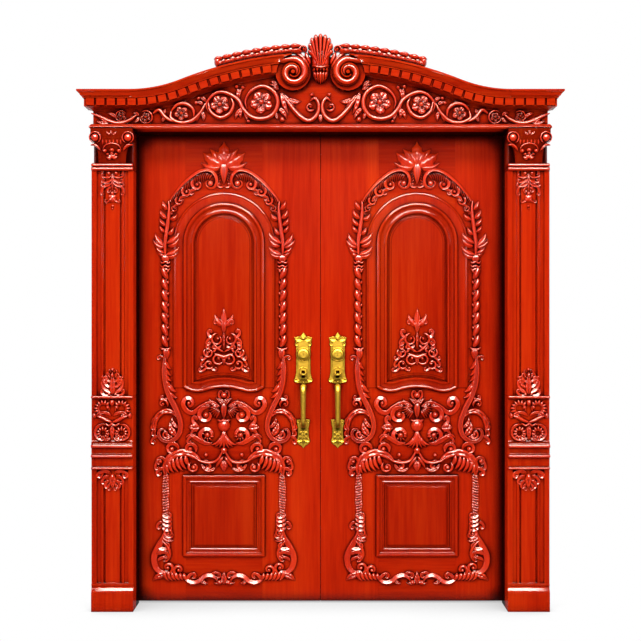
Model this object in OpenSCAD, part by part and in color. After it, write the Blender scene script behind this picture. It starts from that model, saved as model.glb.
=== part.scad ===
// Carved double entrance door in its frame: two panelled leaves on butt hinges, moulded pilasters,
// a carved pediment and cast handle sets. Millimetres, +Z up, the front faces -Y.
// Origin: on the floor, on the centre line, midway between the foremost and the rearmost point.

/* [Leaves] */
// Width of one leaf
leaf_w = 838; // [825:1:880]
// Height of a leaf
leaf_h = 2134; // [2120:1:2260]
// Thickness of a leaf
leaf_t = 45; // [42:1:55]
// Gap between the two leaves when they are shut
meeting_gap = 3; // [3:0.5:5]
// Gap between a leaf and the frame at the hinges and the head
hinge_gap = 3; // [2.5:0.5:5]
// Gap under the leaves
floor_gap = 8; // [5:1:15]
// Distance from the meeting line to the axis of the panels
axis_in = 441; // [436:1:446]

/* [Panels] */
// Outer half width and arch radius of the upper moulding
arch_r = 187; // [184:1:189]
// Distance from the top of a leaf down to the spring line of the arch
spring_drop = 501; // [490:1:520]
// Width of the upper moulding
mould_w = 53; // [46:1:56]
// Width of the flat band outside the upper moulding
band_w = 44; // [36:1:46]
// Half width of the opening that the panels fill
panel_half = 175; // [172:1:176]
// Lower edge of the lower moulding
low_z = 210; // [205:1:225]
// Height of the lower moulding
low_h = 375; // [340:1:400]
// Height of the carved field between the two mouldings
lock_h = 395; // [390:1:410]
// Width of the lower moulding
low_mould_w = 40; // [34:1:44]
// Clearance around a panel
panel_clear = 0.5; // [0.2:0.1:1]
// Height of the raised fields over the leaf
field_h = 6; // [4:0.5:8]

/* [Carving] */
// Relief of the carving on the leaves
carve_h = 17; // [12:1:20]
// Relief of the carving on the frieze
frieze_h = 22; // [16:1:28]

/* [Frame] */
// Width of a jamb outside the clear opening
jamb_w = 58; // [50:1:75]
// Overlap of the stop on a leaf
stop_lap = 13.5; // [10:0.5:16]
// Distance from the wall face back to the face of a leaf
leaf_in = 80; // [70:1:100]
// Gap between a shut leaf and its stop
stop_gap = 1; // [0.5:0.5:3]
// Diameter of the anchor holes in the jambs
anchor_d = 11; // [8:0.5:14]
// Distance between the two anchor holes of a jamb
anchor_pitch = 1600; // [1200:10:1700]

/* [Pilasters] */
// Width of a pilaster
pil_w = 186; // [170:1:200]
// Projection of a pilaster from the wall
pil_d = 70; // [60:1:80]
// Height of the plinth
plinth_h = 84; // [70:1:100]
// Lower edge of the dado block
dado_z = 631; // [610:1:640]
// Height of the dado block
dado_h = 324; // [310:1:340]
// Height of the capital with its neck beads
capital_h = 184; // [175:1:195]

/* [Pediment] */
// Height of the bed moulding
bed_h = 22; // [16:1:28]
// Projection of the frieze from the wall
frieze_d = 62; // [54:1:66]
// Height from the bed moulding to the dentils at the ends
frieze_end_h = 75; // [65:1:90]
// Half length of the curved part of the pediment
curve_half = 838; // [800:1:860]
// Rise of the curve to the middle
curve_rise = 160; // [130:1:175]
// Radius of the hollow part of the curve
hollow_r = 673; // [550:1:800]
// Height of the cove under the dentils
cove_h = 16; // [10:1:20]
// Height of the dentil band
dentil_h = 36; // [30:1:40]
// Pitch of the dentils
dentil_pitch = 46; // [40:1:54]
// Width of the slot between two dentils
dentil_slot = 10; // [7:1:14]
// Radius of a volute
volute_r = 77; // [68:1:82]
// Distance from the centre line to a volute's middle
volute_x = 121; // [116:1:130]

/* [Hinges] */
// Hinges on one leaf
hinge_n = 4; // [3:1:5]
// Height of a hinge
hinge_h = 100; // [80:1:120]
// Width of a flap let into the wood
flap_w = 34; // [28:1:38]
// Thickness of a flap
flap_t = 2.5; // [2:0.5:3]
// Radius of a hinge barrel
barrel_r = 6.5; // [6:0.5:8]
// Radius of a hinge pin
pin_r = 3.5; // [3:0.5:4]
// Running clearance round pins and turning pieces
run = 0.05; // [0.02:0.01:0.09]

/* [Handles] */
// Distance from a leaf's meeting edge to the handle's axis
handle_in = 77; // [70:1:85]
// Height of the key cylinder above the floor
key_z = 1134; // [1120:1:1145]
// Radius of the key cylinder
key_r = 11; // [9:0.5:13]
// Distance the grip stands out from the leaf
grip_reach = 48; // [40:1:60]
// Distance the inside pull stands out from the leaf
pull_reach = 46; // [40:1:55]
// Travel of the dead bolt
bolt_travel = 20; // [15:1:22]

/* [Hidden] */
$fn = 48;
rebate_half = leaf_w + hinge_gap + meeting_gap / 2;
open_half = rebate_half - stop_lap;
leaf_z = floor_gap;
leaf_top = leaf_z + leaf_h;
rebate_z = leaf_top + hinge_gap;
spring_z = leaf_top - spring_drop;
low_top = low_z + low_h;
serpent_z = low_top + lock_h;
lock_z0 = low_top - low_mould_w / 2 - 5;
lock_z1 = serpent_z + 12;
bottom_z1 = low_z + low_mould_w / 2 + 5;
open_h = rebate_z - stop_lap;
edge_x = meeting_gap / 2;
jamb_d = leaf_in + leaf_t;
stop_y = leaf_in - stop_gap;
top_z = open_h + jamb_w;
pil_x = open_half + pil_w / 2;
bed_z = open_h + 5.5;
dado_top = dado_z + dado_h;
capital_z = bed_z - capital_h;
frieze_half = open_half + pil_w - 6;
end_z = bed_z + bed_h + frieze_end_h;
crown_h = dentil_h + 34;
crown_d = frieze_d + 62;
crest_z = end_z + curve_rise;
turn = 2 * atan(curve_rise / curve_half);
swell_r = curve_half / sin(turn) - hollow_r;
bend_x = swell_r * sin(turn);
swell_z = crest_z - swell_r;
volute_drop = 12;
// The lower edge of the upper moulding is a hump between two bowls
bowl_x = 120;
bowl_r = 109;
bowl_dip = 20;
hump_r = (bowl_x * bowl_x + pow(bowl_r - bowl_dip, 2) - bowl_r * bowl_r) / (2 * bowl_dip);
hump_a = asin(bowl_x / (hump_r + bowl_r));
pin_x = rebate_half - hinge_gap / 2;
pin_y = jamb_d + barrel_r + 0.5;
handle_x = edge_x + handle_in;
pull_r = 9;
wall_y = (crown_d - jamb_d - pull_reach - pull_r) / 2;
bolt_l = 58;
bolt_h = 28;
bolt_t = 12;
thumb_z = key_z - 90;
thumb_f = 13;
wood = [0.62, 0.15, 0.05];
dark_wood = [0.36, 0.08, 0.03];
carved = [0.68, 0.19, 0.07];
brass = [0.80, 0.62, 0.22];
steel = [0.62, 0.62, 0.64];
SIDES = ["left", "right"];
FRAME_PAIRS = ["jamb", "pilaster", "capital", "dado_block", "pilaster_carvings", "crown", "garland"];
LEAF_PARTS = ["hinge_stile", "lock_stile", "top_rail", "lock_rail", "bottom_rail", "upper_panel",
    "lower_panel", "upper_moulding", "lower_moulding", "upper_carving", "panel_ornament", "cartouche",
    "lower_carving", "handle_plate", "grip", "thumb_press", "key_cylinder", "inside_pull",
    "hinge_leaf_flaps"];

// Left pieces are drawn as they are, right pieces as their mirror image
module on_side(s) {
    translate([0, wall_y, 0])
        if (s == "left") children();
        else mirror([1, 0, 0]) children();
}

module middle() {
    translate([0, wall_y, 0]) children();
}

module both() {
    children();
    mirror([1, 0, 0]) children();
}

// Puts children at the face of a leaf, on the axis of its panels
module on_leaf(f = 0) {
    translate([-axis_in, leaf_in - f, 0]) children();
}

// Puts children at the face of a leaf, on the axis of the handles
module on_handle(f = 0) {
    translate([-handle_x, leaf_in - f, 0]) children();
}

// A flat outline [x, z] raised towards the front
module relief(t) {
    rotate([90, 0, 0]) linear_extrude(t) children();
}

// A section [y, z] run along X
module along_x(x0, x1) {
    translate([x0, 0, 0]) rotate([90, 0, 90]) linear_extrude(x1 - x0) children();
}

// A section of points [in, forward] run round an arc in the face: in = 0 is at radius r, counted by way
module arc_run(section, c, r, way, a0, a1) {
    translate([c[0], 0, c[1]])
        rotate([90, 0, 0])
            rotate([0, 0, a0])
                rotate_extrude(angle = a1 - a0, $fn = 96)
                    polygon([for (p = section) [r + way * p[0], p[1]]]);
}

function lerp(a, b, t) = a + (b - a) * t;

// A point of the smooth curve through points p, for t from 0 to 1
function along(p, t) =
    let (n = len(p) - 1, s = min(t * n, n - 0.0001), i = floor(s), u = s - i)
    let (a = p[max(i - 1, 0)], b = p[i], c = p[i + 1], d = p[min(i + 2, n)])
    0.5 * (2 * b + (c - a) * u + (2 * a - 5 * b + 4 * c - d) * u * u
        + (3 * b - a - 3 * c + d) * u * u * u);

// Share of the full width along a strap
function leaf_width(t) = sin(180 * pow(t, 0.7));
function vine_width(t) = pow(sin(180 * t), 0.35);
function scroll_width(t) = min(1, 5 * t) * lerp(1.05, 0.55, t);

// A carved strap along a path [x, z]: flat back, sharp ridge to the front, pointed ends
module strap(path, w, h, share) {
    n = len(path) - 1;
    rings = [for (i = [1:n - 1])
        let (d = path[i + 1] - path[i - 1], s = [-d[1], d[0]] / norm(d), k = share(i / n))
        [path[i] + s * w * k / 2, path[i], path[i] - s * w * k / 2, h * pow(k, 0.6)]];
    points = concat(
        [[path[0][0], 0, path[0][1]]],
        [for (r = rings) for (j = [0:2]) [r[j][0], j == 1 ? -r[3] : 0, r[j][1]]],
        [[path[n][0], 0, path[n][1]]]);
    e = len(points) - 1;
    faces = concat(
        [for (j = [0:2]) [0, 1 + j, 1 + (j + 1) % 3]],
        [for (i = [0:n - 3]) for (j = [0:2])
            let (a = 1 + 3 * i + j, b = 1 + 3 * i + (j + 1) % 3) each [[a, a + 3, b + 3], [a, b + 3, b]]],
        [for (j = [0:2]) [e - 3 + j, e, e - 3 + (j + 1) % 3]]);
    polyhedron(points, faces);
}

// A pointed leaf from p, setting out at angle a and turning by bend along its length
module leaf(p, a, l, w, bend = 0, h = carve_h, rings = 2) {
    n = rings + 1;
    strap([for (i = [0:n]) let (t = i / n) p + l * t * [cos(a + bend * t / 2), sin(a + bend * t / 2)]],
        w, h, function (t) leaf_width(t));
}

// A stem through points
module vine(p, w, h = carve_h, rings = 7) {
    strap([for (i = [0:rings + 1]) along(p, i / (rings + 1))], w, h, function (t) vine_width(t));
}

// A scroll that winds in from radius r
module scroll(c, r, from, wind, w, h = carve_h, rings = 9) {
    strap([for (i = [0:rings + 1]) let (t = i / (rings + 1), q = r * lerp(1, 0.28, t), a = from + wind * t)
        c + q * [cos(a), sin(a)]], w, h, function (t) scroll_width(t));
}

// A low dome
module dome(c, r, h = carve_h) {
    translate([c[0], 0, c[1]])
        rotate([90, 0, 0])
            rotate_extrude($fn = 9) polygon([[0, 0], [r, 0], [r * 0.75, h * 0.7], [0, h]]);
}

// Brings carving drawn between z0 and z0 + h up to its named size
module sized(w, h, z0) {
    translate([0, 0, z0]) resize([w, 0, h]) translate([0, 0, -z0]) children();
}

// Frame

module jamb() {
    x0 = -open_half - jamb_w;
    color(dark_wood)
        difference() {
            linear_extrude(top_z)
                polygon([[x0, 0], [-open_half, 0], [-open_half, stop_y], [-rebate_half, stop_y],
                    [-rebate_half, jamb_d], [x0, jamb_d]]);
            for (s = [-1, 1])
                translate([x0 - 1, stop_y / 2, top_z / 2 + s * anchor_pitch / 2])
                    rotate([0, 90, 0]) cylinder(d = anchor_d, h = jamb_w + 2);
            for (i = [0:hinge_n - 1])
                translate([-rebate_half - flap_t, jamb_d - flap_w, hinge_low(i)])
                    cube([flap_t + 1, flap_w + 1, hinge_h]);
        }
}

module head_jamb() {
    color(dark_wood) {
        translate([-open_half, 0, open_h]) cube([2 * open_half, stop_y, jamb_w]);
        translate([-rebate_half, stop_y, rebate_z])
            cube([2 * rebate_half, jamb_d - stop_y, jamb_w - stop_lap]);
    }
}

// Plan of the shaft: flat margin, step, bead and raised field
function shaft_plan(d) =
    let (h = pil_w / 2, m = [[h, 0], [h, d], [h - 23, d], [h - 23, d - 9], [h - 40, d - 9], [h - 43, d - 3],
        [h - 52, d - 3], [h - 55, d - 12], [h - 59, d - 12], [h - 62, d - 6]], n = len(m))
    concat([for (p = m) [p[0], -p[1]]], [for (i = [n - 1:-1:0]) [-m[i][0], -m[i][1]]]);

module pilaster() {
    color(wood)
        translate([-pil_x, 0, 0]) {
            translate([0, 0, dado_top]) linear_extrude(capital_z - dado_top) polygon(shaft_plan(pil_d));
            translate([0, 0, plinth_h + 40])
                linear_extrude(dado_z - plinth_h - 40) polygon(shaft_plan(pil_d));
            translate([-pil_w / 2, -pil_d, plinth_h]) cube([pil_w, pil_d, 40]);
            translate([-pil_w / 2, -pil_d - 5, plinth_h + 30]) cube([pil_w, 10, 8]);
            along_x(-pil_w / 2, pil_w / 2)
                polygon([[0, 0], [-pil_d - 10, 0], [-pil_d - 10, plinth_h], [-pil_d - 7, plinth_h + 8],
                    [-pil_d, plinth_h + 20], [0, plinth_h + 20]]);
        }
}

module dado_block() {
    h = pil_w / 2;
    color(wood)
        translate([-pil_x, 0, 0])
            along_x(-h, h)
                polygon([[0, dado_z], [-pil_d - 4, dado_z], [-pil_d - 8, dado_z + 4],
                    [-pil_d - 4, dado_z + 9], [-pil_d - 4, dado_z + 48], [-pil_d - 12, dado_z + 52],
                    [-pil_d - 14, dado_z + 60], [-pil_d - 8, dado_z + 66], [-pil_d - 5, dado_z + 68],
                    [-pil_d - 5, dado_z + 94], [-pil_d - 12, dado_z + 96], [-pil_d - 12, dado_z + 108],
                    [-pil_d - 6, dado_z + 111], [-pil_d - 6, dado_z + 115], [-pil_d - 9, dado_z + 120],
                    [-pil_d - 2, dado_z + 124], [-pil_d - 2, dado_top - 9], [-pil_d - 9, dado_top - 8],
                    [-pil_d - 9, dado_top], [0, dado_top]]);
}

// A capital: scrolled silhouette from the front, curved profile from the side
module capital() {
    h = pil_w / 2;
    z = capital_z;
    t = bed_z;
    color(wood)
        translate([-pil_x, 0, 0]) {
            intersection() {
                relief(pil_d + 40)
                    polygon([[-60, z + 30], [60, z + 30], [61, z + 70], [68, z + 108], [82, z + 130],
                        [h, z + 134], [h, t], [-h, t], [-h, z + 134], [-82, z + 130], [-68, z + 108],
                        [-61, z + 70]]);
                along_x(-h, h)
                    polygon([[0, z + 30], [-pil_d - 4, z + 30], [-pil_d - 7, z + 70],
                        [-pil_d - 14, z + 110], [-pil_d - 24, z + 140], [-pil_d - 26, t], [0, t]]);
            }
            both() translate([-74, 0, t - 42]) rotate([90, 0, 0]) cylinder(r = 19, h = pil_d + 22);
            both() translate([-74, 0, t - 42]) rotate([90, 0, 0]) cylinder(r = 11, h = pil_d + 27);
            translate([-h, -pil_d - 6, z]) cube([pil_w, pil_d + 6, 15]);
            translate([-h + 4, -pil_d, z + 10]) cube([pil_w - 8, pil_d, 24]);
            translate([-h + 2, -pil_d - 5, z + 19]) cube([pil_w - 4, pil_d + 5, 10]);
        }
}

module pilaster_carvings() {
    color(carved)
        translate([-pil_x, 0, 0]) {
            translate([0, 6 - pil_d, 0]) {
                sized(60, 163, capital_z - 168) drop(capital_z - 168);
                sized(60, 110, dado_top + 2) foot(dado_top + 2);
                sized(60, 84, dado_z - 92) drop(dado_z - 92);
            }
            translate([0, -pil_d - 2, 0]) sized(158, 180, dado_z + 129) heart(dado_z + 129);
        }
}

// A hanging spray of leaves, its lower tip at z
module drop(z) {
    leaf([0, z + 100], -90, 100, 22, 0, 12);
    leaf([0, z + 60], 90, 100, 20, 0, 12);
    both() {
        leaf([3, z + 150], -35, 40, 14, -60, 11);
        leaf([3, z + 110], -25, 42, 14, -70, 11);
        leaf([3, z + 70], -35, 38, 12, -60, 10);
    }
}

// A standing spray of leaves on a scrolled foot at z
module foot(z) {
    leaf([0, z], 90, 110, 26, 0, 12);
    both() {
        leaf([3, z + 6], 35, 46, 14, 70, 11);
        leaf([3, z + 40], 45, 42, 14, 60, 11);
        leaf([4, z + 4], 5, 44, 13, 60, 10);
    }
}

// Two facing scrolls with leaves, the lower edge at z
module heart(z) {
    leaf([0, z + 70], 90, 110, 28, 0, 14);
    leaf([0, z + 70], -90, 68, 26, 0, 14);
    both() {
        scroll([38, z + 118], 38, 200, -330, 15, 14, 6);
        scroll([44, z + 52], 34, 130, 330, 14, 13, 6);
        leaf([66, z + 90], 60, 55, 16, 60, 12);
        leaf([6, z + 150], 35, 60, 15, -50, 12);
        leaf([10, z + 20], -10, 62, 15, 40, 12);
    }
}

// Pediment

module bed_moulding() {
    h = frieze_half + 16;
    color(wood)
        intersection() {
            along_x(-h, h)
                polygon([[0, bed_z], [-pil_d - 10, bed_z], [-pil_d - 16, bed_z + 7],
                    [-pil_d - 12, bed_z + 15], [-pil_d - 6, bed_z + bed_h], [0, bed_z + bed_h]]);
            relief(pil_d + 30)
                polygon([[-h + 6, bed_z], [-h, bed_z + 7], [-h + 4, bed_z + 15], [-h + 10, bed_z + bed_h],
                    [h - 10, bed_z + bed_h], [h - 4, bed_z + 15], [h, bed_z + 7], [h - 6, bed_z]]);
        }
}

// The curved line of the pediment, lifted by d: its outline down to the bed moulding
module pediment_outline(d) {
    z0 = bed_z + bed_h;
    translate([-frieze_half, z0]) square([2 * frieze_half, end_z + d - z0]);
    both()
        difference() {
            translate([-curve_half, end_z - 60]) square([curve_half - bend_x, curve_rise + 60 + d]);
            translate([-curve_half, end_z + hollow_r]) circle(r = hollow_r - d, $fn = 96);
        }
    intersection() {
        translate([0, swell_z]) circle(r = swell_r + d, $fn = 96);
        translate([-bend_x, end_z - 60]) square([2 * bend_x, curve_rise + 61 + d]);
    }
}

module pediment_board() {
    color(wood) relief(frieze_d) pediment_outline(crown_h - 4);
}

// Section of the crown over the frieze: cove, dentil band, cyma; points [height, forward]
function crown_section() =
    let (b = frieze_d, t = dentil_h)
    [[-cove_h, b], [-cove_h * 0.7, b + 3], [-cove_h * 0.4, b + 10], [-cove_h * 0.15, b + 20],
     [0, b + 30], [0, b + 34],
     [t, b + 34], [t, b + 40], [t + 5, b + 40], [t + 9, b + 47], [t + 18, b + 52], [t + 23, b + 57],
     [t + 26, crown_d], [t + 34, crown_d], [t + 34, b]];

// One half of the crown from its end to the volute, with its dentils
module crown() {
    section = crown_section();
    c = [0, swell_z];
    b = frieze_half - frieze_d;
    stop_a = 90 + asin(volute_x / swell_r);
    color(wood) {
        intersection() {
            along_x(-frieze_half - 80, -curve_half) polygon([for (p = section) [-p[1], end_z + p[0]]]);
            relief(crown_d + 10)
                polygon(concat([for (p = section) [-b - p[1], end_z + p[0]]],
                    [[-curve_half, end_z + crown_h], [-curve_half, end_z - cove_h]]));
        }
        translate([-frieze_half, 0, 0]) cornice_return();
        arc_run(section, [-curve_half, end_z + hollow_r], hollow_r, -1, 270, 270 + turn);
        difference() {
            arc_run(section, c, swell_r, 1, stop_a, 90 + turn);
            translate([-volute_x, 0, crest_z - volute_drop])
                rotate([90, 0, 0]) cylinder(r = volute_r - 4, h = crown_d + 1);
        }
        for (i = [0:ceil((frieze_half + 20) / dentil_pitch)]) dentil(i);
        volute();
    }
}

// The crown carried back to the wall past the end of the frieze
module cornice_return() {
    section = crown_section();
    translate([0, -frieze_d, 0])
        rotate([-90, 0, 0])
            linear_extrude(frieze_d)
                polygon([for (p = section) [frieze_d - p[1], -end_z - p[0]]]);
}

// One dentil, numbered from the end of the crown
module dentil(i) {
    x = -frieze_half - 24 + dentil_pitch * i;
    w = dentil_pitch - dentil_slot;
    f = frieze_d + 33;
    if (x + w < -volute_x - volute_r) {
        m = x + w / 2;
        a = m < -bend_x ? asin(max(0, m + curve_half) / hollow_r) : asin(-m / swell_r);
        z = m < -bend_x ? end_z + hollow_r * (1 - cos(a)) : swell_z + swell_r * cos(a);
        translate([m, -f - 8, z])
            rotate([0, -a, 0])
                translate([-w / 2, 0, 3]) cube([w, 8, dentil_h - 6]);
    }
}

// Outline of a spiral band that narrows as it winds in, share is the part of the band's width kept
function spiral(share) =
    let (n = 44, out = [for (i = [0:n]) spiral_at(i / n, 1 + share)], back = [for (i = [n:-1:0])
        spiral_at(i / n, 1 - share)])
    concat(out, back);
function spiral_at(t, side) =
    let (r = lerp(volute_r - 11, 17, t), w = lerp(10, 4.5, t), a = 100 - 600 * t)
    (r + (side - 1) * w) * [cos(a), sin(a)];

// The rolled end of the crown: a drum with a spiral band and an eye
module volute() {
    translate([-volute_x, -frieze_d, crest_z - volute_drop]) {
        rotate([90, 0, 0]) cylinder(r = volute_r, h = 27);
        relief(44) polygon(spiral(1));
        relief(52) polygon(spiral(0.45));
        rotate([90, 0, 0]) cylinder(r1 = 16, r2 = 8, h = 56);
    }
}

module frieze_carving() {
    z = bed_z + bed_h;
    color(carved)
        translate([0, -frieze_d, 0])
            sized(2 * curve_half + 124, curve_rise + frieze_end_h - 61, z + 4)
                both() {
                    frieze_vine(z);
                    frieze_leaves(z);
                }
}

// The running scrolls, from the middle to the end
module frieze_vine(z) {
    h = frieze_h;
    scroll([262, z + 102], 72, 150, -400, 30, h, 9);
    scroll([436, z + 86], 61, 40, 400, 27, h, 8);
    scroll([600, z + 54], 40, 150, -400, 22, h, 7);
    scroll([742, z + 34], 24, 40, 390, 15, h, 6);
    scroll([846, z + 32], 20, 150, -360, 13, h, 5);
    vine([[178, z + 150], [150, z + 90], [104, z + 48], [58, z + 24], [24, z + 44], [18, z + 80],
        [36, z + 104], [56, z + 88], [48, z + 66]], 25, h, 8);
    vine([[196, z + 28], [236, z + 22], [300, z + 24], [362, z + 62]], 24, h, 4);
    vine([[340, z + 146], [400, z + 150], [470, z + 132], [546, z + 84]], 20, h, 4);
    vine([[505, z + 34], [560, z + 18], [640, z + 18], [704, z + 38]], 20, h, 4);
}

module frieze_leaves(z) {
    h = frieze_h - 6;
    leaf([30, z + 106], 100, 64, 22, -20, h);
    leaf([120, z + 68], -60, 56, 22, 70, h);
    leaf([140, z + 86], 150, 62, 22, -60, h);
    leaf([192, z + 40], 150, 60, 20, -60, h);
    leaf([330, z + 74], -70, 58, 22, 70, h);
    leaf([340, z + 120], 60, 60, 20, -70, h);
    leaf([356, z + 96], 0, 52, 20, 40, h);
    leaf([496, z + 104], 20, 46, 18, -60, h);
    leaf([512, z + 64], -60, 46, 18, 70, h);
    leaf([540, z + 96], 10, 46, 18, -60, h);
    leaf([646, z + 54], 24, 46, 16, -80, h);
    leaf([772, z + 38], 14, 44, 14, -60, h);
    leaf([866, z + 24], 0, 60, 18, 30, h);
    leaf([856, z + 36], 10, 56, 14, -30, h);
}

module crest_shell() {
    z = crest_z - 56;
    color(carved)
        translate([0, -frieze_d, 0]) {
            translate([0, 0, z]) relief(30) polygon([[-34, 0], [34, 0], [40, 90], [-40, 90]]);
            translate([0, 0, z + 84])
                relief(34)
                    polygon(concat([[-14, 0], [-42, 6]], [for (a = [168:-12:12]) [51 * cos(a), 118 * sin(a)]],
                        [[42, 6], [14, 0]]));
            translate([0, -33, 0])
                sized(102, 212, z + 6) {
                    for (a = [-3:3]) leaf([a * 5, z + 84], 90 - a * 20, 126 - abs(a) * 14, 25, 0, 24);
                    leaf([0, z + 100], -90, 92, 48, 0, 20);
                    both() leaf([10, z + 84], -50, 74, 24, 30, 18);
                }
        }
}

// Half of the laurel that lies on the crown: a rounded stem with pairs of leaves
module garland() {
    r = swell_r + crown_h;
    a0 = 90 + asin(84 / r);
    a1 = 90 + asin(452 / r);
    n = 8;
    color(carved) {
        arc_run([[0, crown_d - 46], [0, crown_d - 10], [16, crown_d - 7], [35, crown_d - 10],
            [44, crown_d - 22], [40, crown_d - 40]], [0, swell_z], r, 1, a0, a1);
        translate([0, 14 - crown_d, swell_z])
            for (i = [0:n - 1]) {
                a = lerp(a0, a1, (i + 0.06) / n);
                leaf((r + 35) * [cos(a), sin(a)], a + 78, 46, 24, 20, 13);
                leaf((r + 13) * [cos(a), sin(a)], a + 98, 44, 21, -14, 13);
            }
    }
}

// Leaves

module hinge_stile() {
    x0 = -rebate_half + hinge_gap;
    color(wood)
        difference() {
            translate([x0, leaf_in, leaf_z]) cube([-axis_in - panel_half - x0, leaf_t, leaf_h]);
            for (i = [0:hinge_n - 1])
                translate([x0 - 1, jamb_d - flap_w, hinge_low(i)])
                    cube([flap_t + 1, flap_w + 1, hinge_h]);
        }
}

// The active leaf has the bolt's slot, the other one the pocket that takes the bolt
module lock_stile(active) {
    x0 = -axis_in + panel_half;
    l = active ? bolt_l + 2 : bolt_travel;
    color(wood)
        difference() {
            translate([x0, leaf_in, leaf_z]) cube([-edge_x - x0, leaf_t, leaf_h]);
            translate([-edge_x - l, leaf_in + leaf_t / 2 - bolt_t / 2 - run, key_z - bolt_h / 2 - run])
                cube([l + 1, bolt_t + 2 * run, bolt_h + 2 * run]);
            on_handle()
                translate([0, 0, key_z]) rotate([90, 0, 0]) cylinder(r = key_r + 2, h = 30, center = true);
            on_handle() translate([-9, -1, thumb_z - 18]) cube([18, 17, 36]);
        }
}

module rail(z0, z1) {
    color(wood)
        translate([-axis_in - panel_half, leaf_in, z0]) cube([2 * panel_half, leaf_t, z1 - z0]);
}

module top_rail() {
    difference() {
        rail(spring_z, leaf_top);
        on_leaf(1)
            translate([0, 0, spring_z])
                rotate([-90, 0, 0]) cylinder(r = panel_half - 10, h = leaf_t + 2, $fn = 96);
    }
}

// Arched outline, half width and radius r, from the height z up
module arched(r, z) {
    translate([-r, z]) square([2 * r, spring_z - z]);
    intersection() {
        translate([0, spring_z]) circle(r = r, $fn = 96);
        translate([-r, spring_z - 1]) square([2 * r, r + 1]);
    }
}

module upper_panel() {
    z0 = lock_z1 + panel_clear;
    r = arch_r - mould_w - 8;
    color(wood)
        on_leaf() {
            rotate([-90, 0, 0])
                linear_extrude(leaf_t - 8)
                    mirror([0, 1]) {
                        h = panel_half - panel_clear;
                        translate([-h, z0]) square([2 * h, spring_z - panel_clear - z0]);
                        arched(panel_half - 10 - panel_clear, z0);
                    }
            relief(field_h / 2) field_outline(r);
            relief(field_h) field_outline(r - 9);
        }
}

module field_outline(r) {
    difference() {
        arched(r, serpent_z);
        translate([0, serpent_z - hump_r]) circle(r = hump_r + mould_w + arch_r - mould_w - r, $fn = 96);
    }
}

// Section of the upper moulding, points [in from the outer edge, forward]
function upper_section() =
    let (w = mould_w)
    [[0, 0], [0, 6], [4, 13], [10, 16], [16, 13], [20, 7], [w - 24, 5], [w - 17, 6], [w - 12, 10],
     [w - 6, 10], [w, 3], [w, 0]];

module upper_moulding() {
    section = upper_section();
    band = [[-band_w, 0], [-band_w, 5], [5 - band_w, 7], [10 - band_w, 4], [0.5, 4], [0.5, 0]];
    bowl_z = serpent_z - bowl_dip + bowl_r;
    corner_z = bowl_z - sqrt(bowl_r * bowl_r - pow(arch_r - bowl_x, 2));
    below = [[arch_r + 30, corner_z - 14.6], [0, corner_z + 0.487 * arch_r], [0, corner_z - 80],
        [arch_r + 30, corner_z - 80]];
    color(wood)
        on_leaf() {
            arc_run(section, [0, spring_z], arch_r, -1, 0, 180);
            arc_run(band, [0, spring_z], arch_r, -1, 0, 180);
            both() {
                difference() {
                    leg(section, corner_z - 20);
                    translate([0, 1, 0]) relief(40) polygon(below);
                }
                leg(band, corner_z);
                intersection() {
                    union() {
                        arc_run(section, [bowl_x, bowl_z], bowl_r, -1, 270 - hump_a, 330);
                        arc_run(section, [0, serpent_z - hump_r], hump_r, 1, 90 - hump_a, 90);
                    }
                    translate([0, 1, 0]) relief(40) polygon(below);
                }
            }
        }
}

// A straight upright length of a section, up to the spring line
module leg(section, z) {
    translate([0, 0, z])
        linear_extrude(spring_z - z) polygon([for (p = section) [arch_r - p[0], -p[1]]]);
}

function lower_section() =
    let (w = low_mould_w)
    [[0, 0], [0, 6], [4, 12], [10, 14], [16, 11], [20, 6], [w - 12, 4], [w - 6, 7], [w, 2], [w, 0]];

module lower_moulding() {
    w = arch_r + 1;
    h = low_h / 2;
    section = lower_section();
    color(wood)
        on_leaf()
            translate([0, 0, low_z + h]) {
                mitred(section, w, h);
                rotate([0, 180, 0]) mitred(section, w, h);
                rotate([0, 90, 0]) mitred(section, h, w);
                rotate([0, -90, 0]) mitred(section, h, w);
            }
}

// The lower side of a frame of half width w and half height h, cut at 45 degrees
module mitred(section, w, h) {
    intersection() {
        along_x(-w, w) polygon([for (p = section) [-p[1], p[0] - h]]);
        translate([0, 1, 0]) relief(40) polygon([[-w, -h], [w, -h], [w - 60, 60 - h], [60 - w, 60 - h]]);
    }
}

module lower_panel() {
    z0 = bottom_z1 + panel_clear;
    h = panel_half - panel_clear;
    c = low_z + low_h / 2;
    fw = arch_r - low_mould_w - 7;
    fh = low_h / 2 - low_mould_w - 7;
    color(wood)
        on_leaf() {
            translate([-h, 0, z0]) cube([2 * h, leaf_t - 8, lock_z0 - panel_clear - z0]);
            hull() {
                translate([-fw, -0.5, c - fh]) cube([2 * fw, 0.5, 2 * fh]);
                translate([9 - fw, -field_h - 2, c - fh + 9]) cube([2 * fw - 18, 1, 2 * fh - 18]);
            }
        }
}

// The crown and the arch hang on the spring line, the brackets and side scrolls stand on the lock rail,
// and ropes fill the height between them
module upper_carving() {
    t = spring_z;
    color(carved)
        on_leaf()
            sized(644, spring_z - serpent_z + 723, serpent_z - 262) {
                leaf([0, t + 259], 90, 202, 62);
                vine([[0, t + 245], [0, t + 289], [0, t + 349]], 28, carve_h, 2);
                both() {
                    crown_half(t);
                    arch_half(t);
                    foliage_half(t);
                    rope_half();
                    bracket_half(serpent_z);
                }
            }
}

module crown_half(t) {
    leaf([4, t + 339], 40, 116, 48, 30);
    leaf([4, t + 304], 18, 112, 48, 44);
    leaf([4, t + 284], -8, 72, 32, 70);
}

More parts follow.
